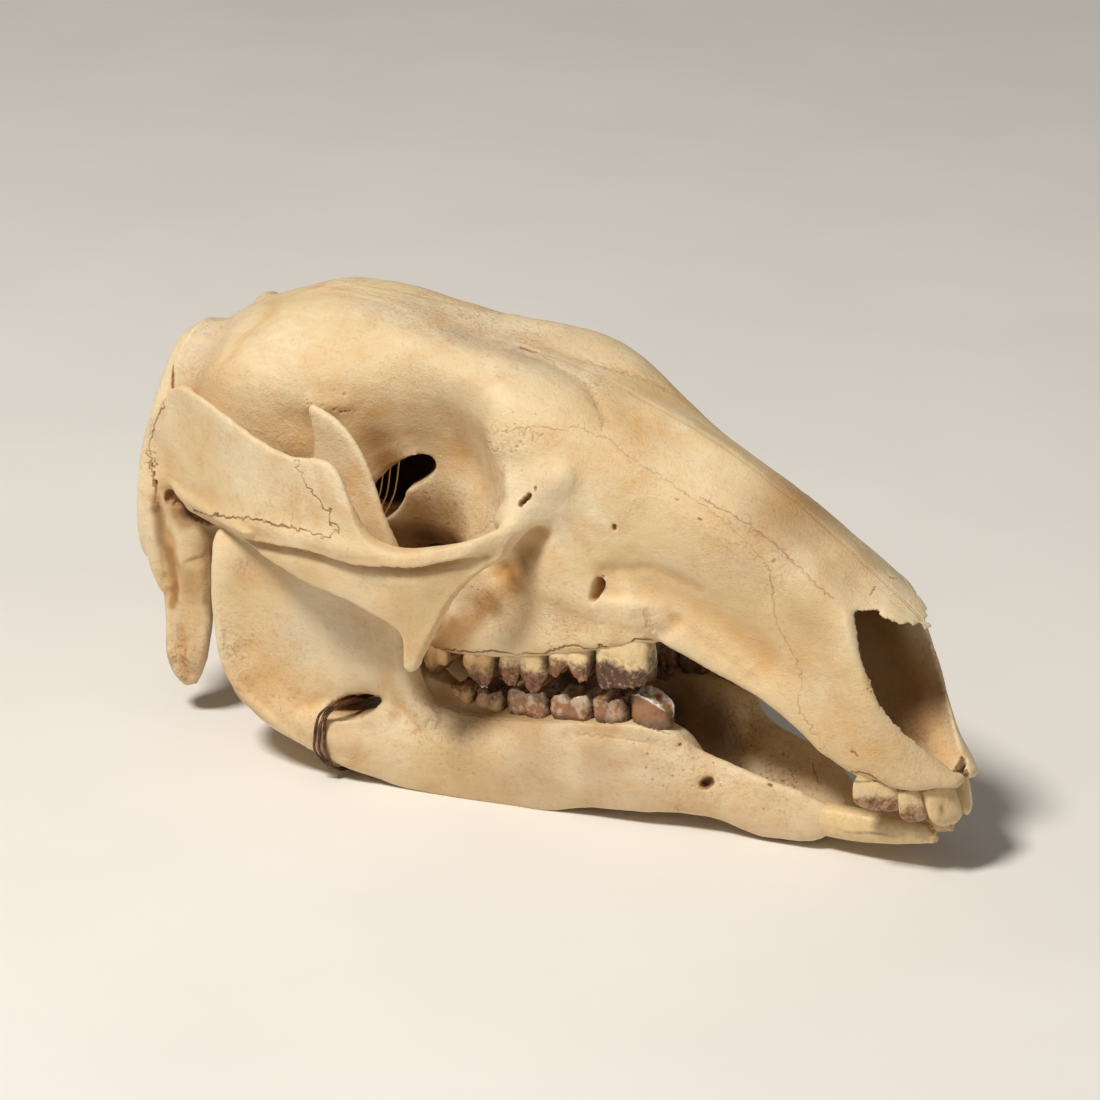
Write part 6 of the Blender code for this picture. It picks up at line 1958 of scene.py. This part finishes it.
def place(turn, raised, distance):
    """A point at an angle round from the skull's right side, raised, and away from the target."""
    a, e = math.radians(turn), math.radians(raised)
    along = Vector((math.sin(a) * math.cos(e), -math.cos(a) * math.cos(e), math.sin(e)))
    return CAMERA_TARGET + distance * along


def add_camera():
    data = bpy.data.cameras.new("camera")
    data.lens = LENS
    data.sensor_width = 36.0
    data.clip_start = 0.05
    data.clip_end = 20.0
    camera = bpy.data.objects.new("camera", data)
    bpy.context.scene.collection.objects.link(camera)
    camera.location = place(CAMERA_TURN, CAMERA_RAISE, CAMERA_DISTANCE)
    look(camera, CAMERA_TARGET)
    bpy.context.scene.camera = camera


def add_light(name, turn, raised, distance, size, power, tint):
    data = bpy.data.lights.new(name, "AREA")
    data.shape = "DISK"
    data.size = size
    data.energy = power
    data.color = tint
    lamp = bpy.data.objects.new(name, data)
    bpy.context.scene.collection.objects.link(lamp)
    lamp.location = place(turn, raised, distance)
    look(lamp, CAMERA_TARGET)


# Name, turn from the skull's right side, height angle, distance, size, power and tint.
LIGHTS = [
    ("key", -10.0, 58.0, 1.1, 0.26, 12.2, (1.0, 0.965, 0.91)),
    ("fill", 82.0, 30.0, 1.5, 1.2, 0.9, (1.0, 0.98, 0.95)),
    ("top", 20.0, 84.0, 1.3, 0.9, 0.8, (1.0, 0.98, 0.95)),
]
WORLD_LIGHT = 0.12
FLOOR_SIZE = 6.0


def add_stage():
    bpy.ops.mesh.primitive_plane_add(size=FLOOR_SIZE, location=(0.0, 0.0, 0.0))
    floor = bpy.context.object
    floor.name = "floor"
    floor.data.materials.append(floor_material())
    world = bpy.data.worlds.new("studio")
    world.use_nodes = True
    back = world.node_tree.nodes["Background"]
    back.inputs["Color"].default_value = (1.0, 0.985, 0.96, 1.0)
    back.inputs["Strength"].default_value = WORLD_LIGHT
    bpy.context.scene.world = world
    bpy.context.scene.view_settings.view_transform = "Standard"
    for values in LIGHTS:
        add_light(*values)


def main():
    group = new_collection("looks")
    pieces = new_collection("pieces")
    cutters = new_collection("cutters")
    bone = bone_material()
    enamel = tooth_materials()
    add_camera()
    add_stage()

    skull = build_cranium(group, pieces, cutters)
    skull.melt(MELTS)
    skull.index()
    detail(skull, SOFT_FORMS, LEDGES, SEAMS.values(), HOLES, PIT_FIELDS,
           {"ochre": OCHRE, "rough": ROUGH, "pale": PALE, "shade": SHADE, "blush": BLUSH, "grey": GREY})
    shade_lines(skull, SHADE_LINES)
    skull.mark("shade", NOSE_SHADE * inside_nose(skull))
    skull.mark("shade", BRAIN_SHADE * inside_brain(skull.points))
    new_piece("skull_bone", skull.points, skull.tris, surface_values(skull), bone, "bone", group,
              ("braincase", "snout", "cheek_arch_right", "cheek_arch_left"))

    jaw = build_jaw(group, pieces, cutters)
    detail(jaw, JAW_FORMS, JAW_LEDGES, JAW_SEAMS.values(), JAW_HOLES, JAW_PITS,
           {"ochre": JAW_OCHRE, "rough": JAW_ROUGH, "pale": JAW_PALE, "shade": JAW_SHADE,
            "blush": JAW_BLUSH, "grey": JAW_GREY})
    jaw.points[:, 2] = np.maximum(jaw.points[:, 2], FLOOR_Z)
    jaw.points[:, 1] = np.minimum(jaw.points[:, 1], -SYMPHYSIS_GAP)
    both_sides("jaw_bone", (jaw.points, jaw.tris, surface_values(jaw)), bone, group, "bone",
               (("jaw_right",), ("jaw_left",)))

    add_teeth(group, enamel)
    copper = wire_material()
    for number, made in enumerate(wire_strands()):
        both_sides(f"wire_strand_{number}", made, copper, group, "copper_wire",
                   (("wire_tie_right",), ("wire_tie_left",)))
    for number, path in enumerate(STRUTS):
        points, tris, _ = strand(spline(path, STRUT_POINTS, False), STRUT_RADIUS)
        empty = {name: np.zeros(len(points)) for name in VALUE_NAMES}
        for side, body in (("right", (points, tris)), ("left", flipped(points, tris))):
            new_piece(f"strut_{side}_{number}", *body, empty, bone, "bone", group)


main()
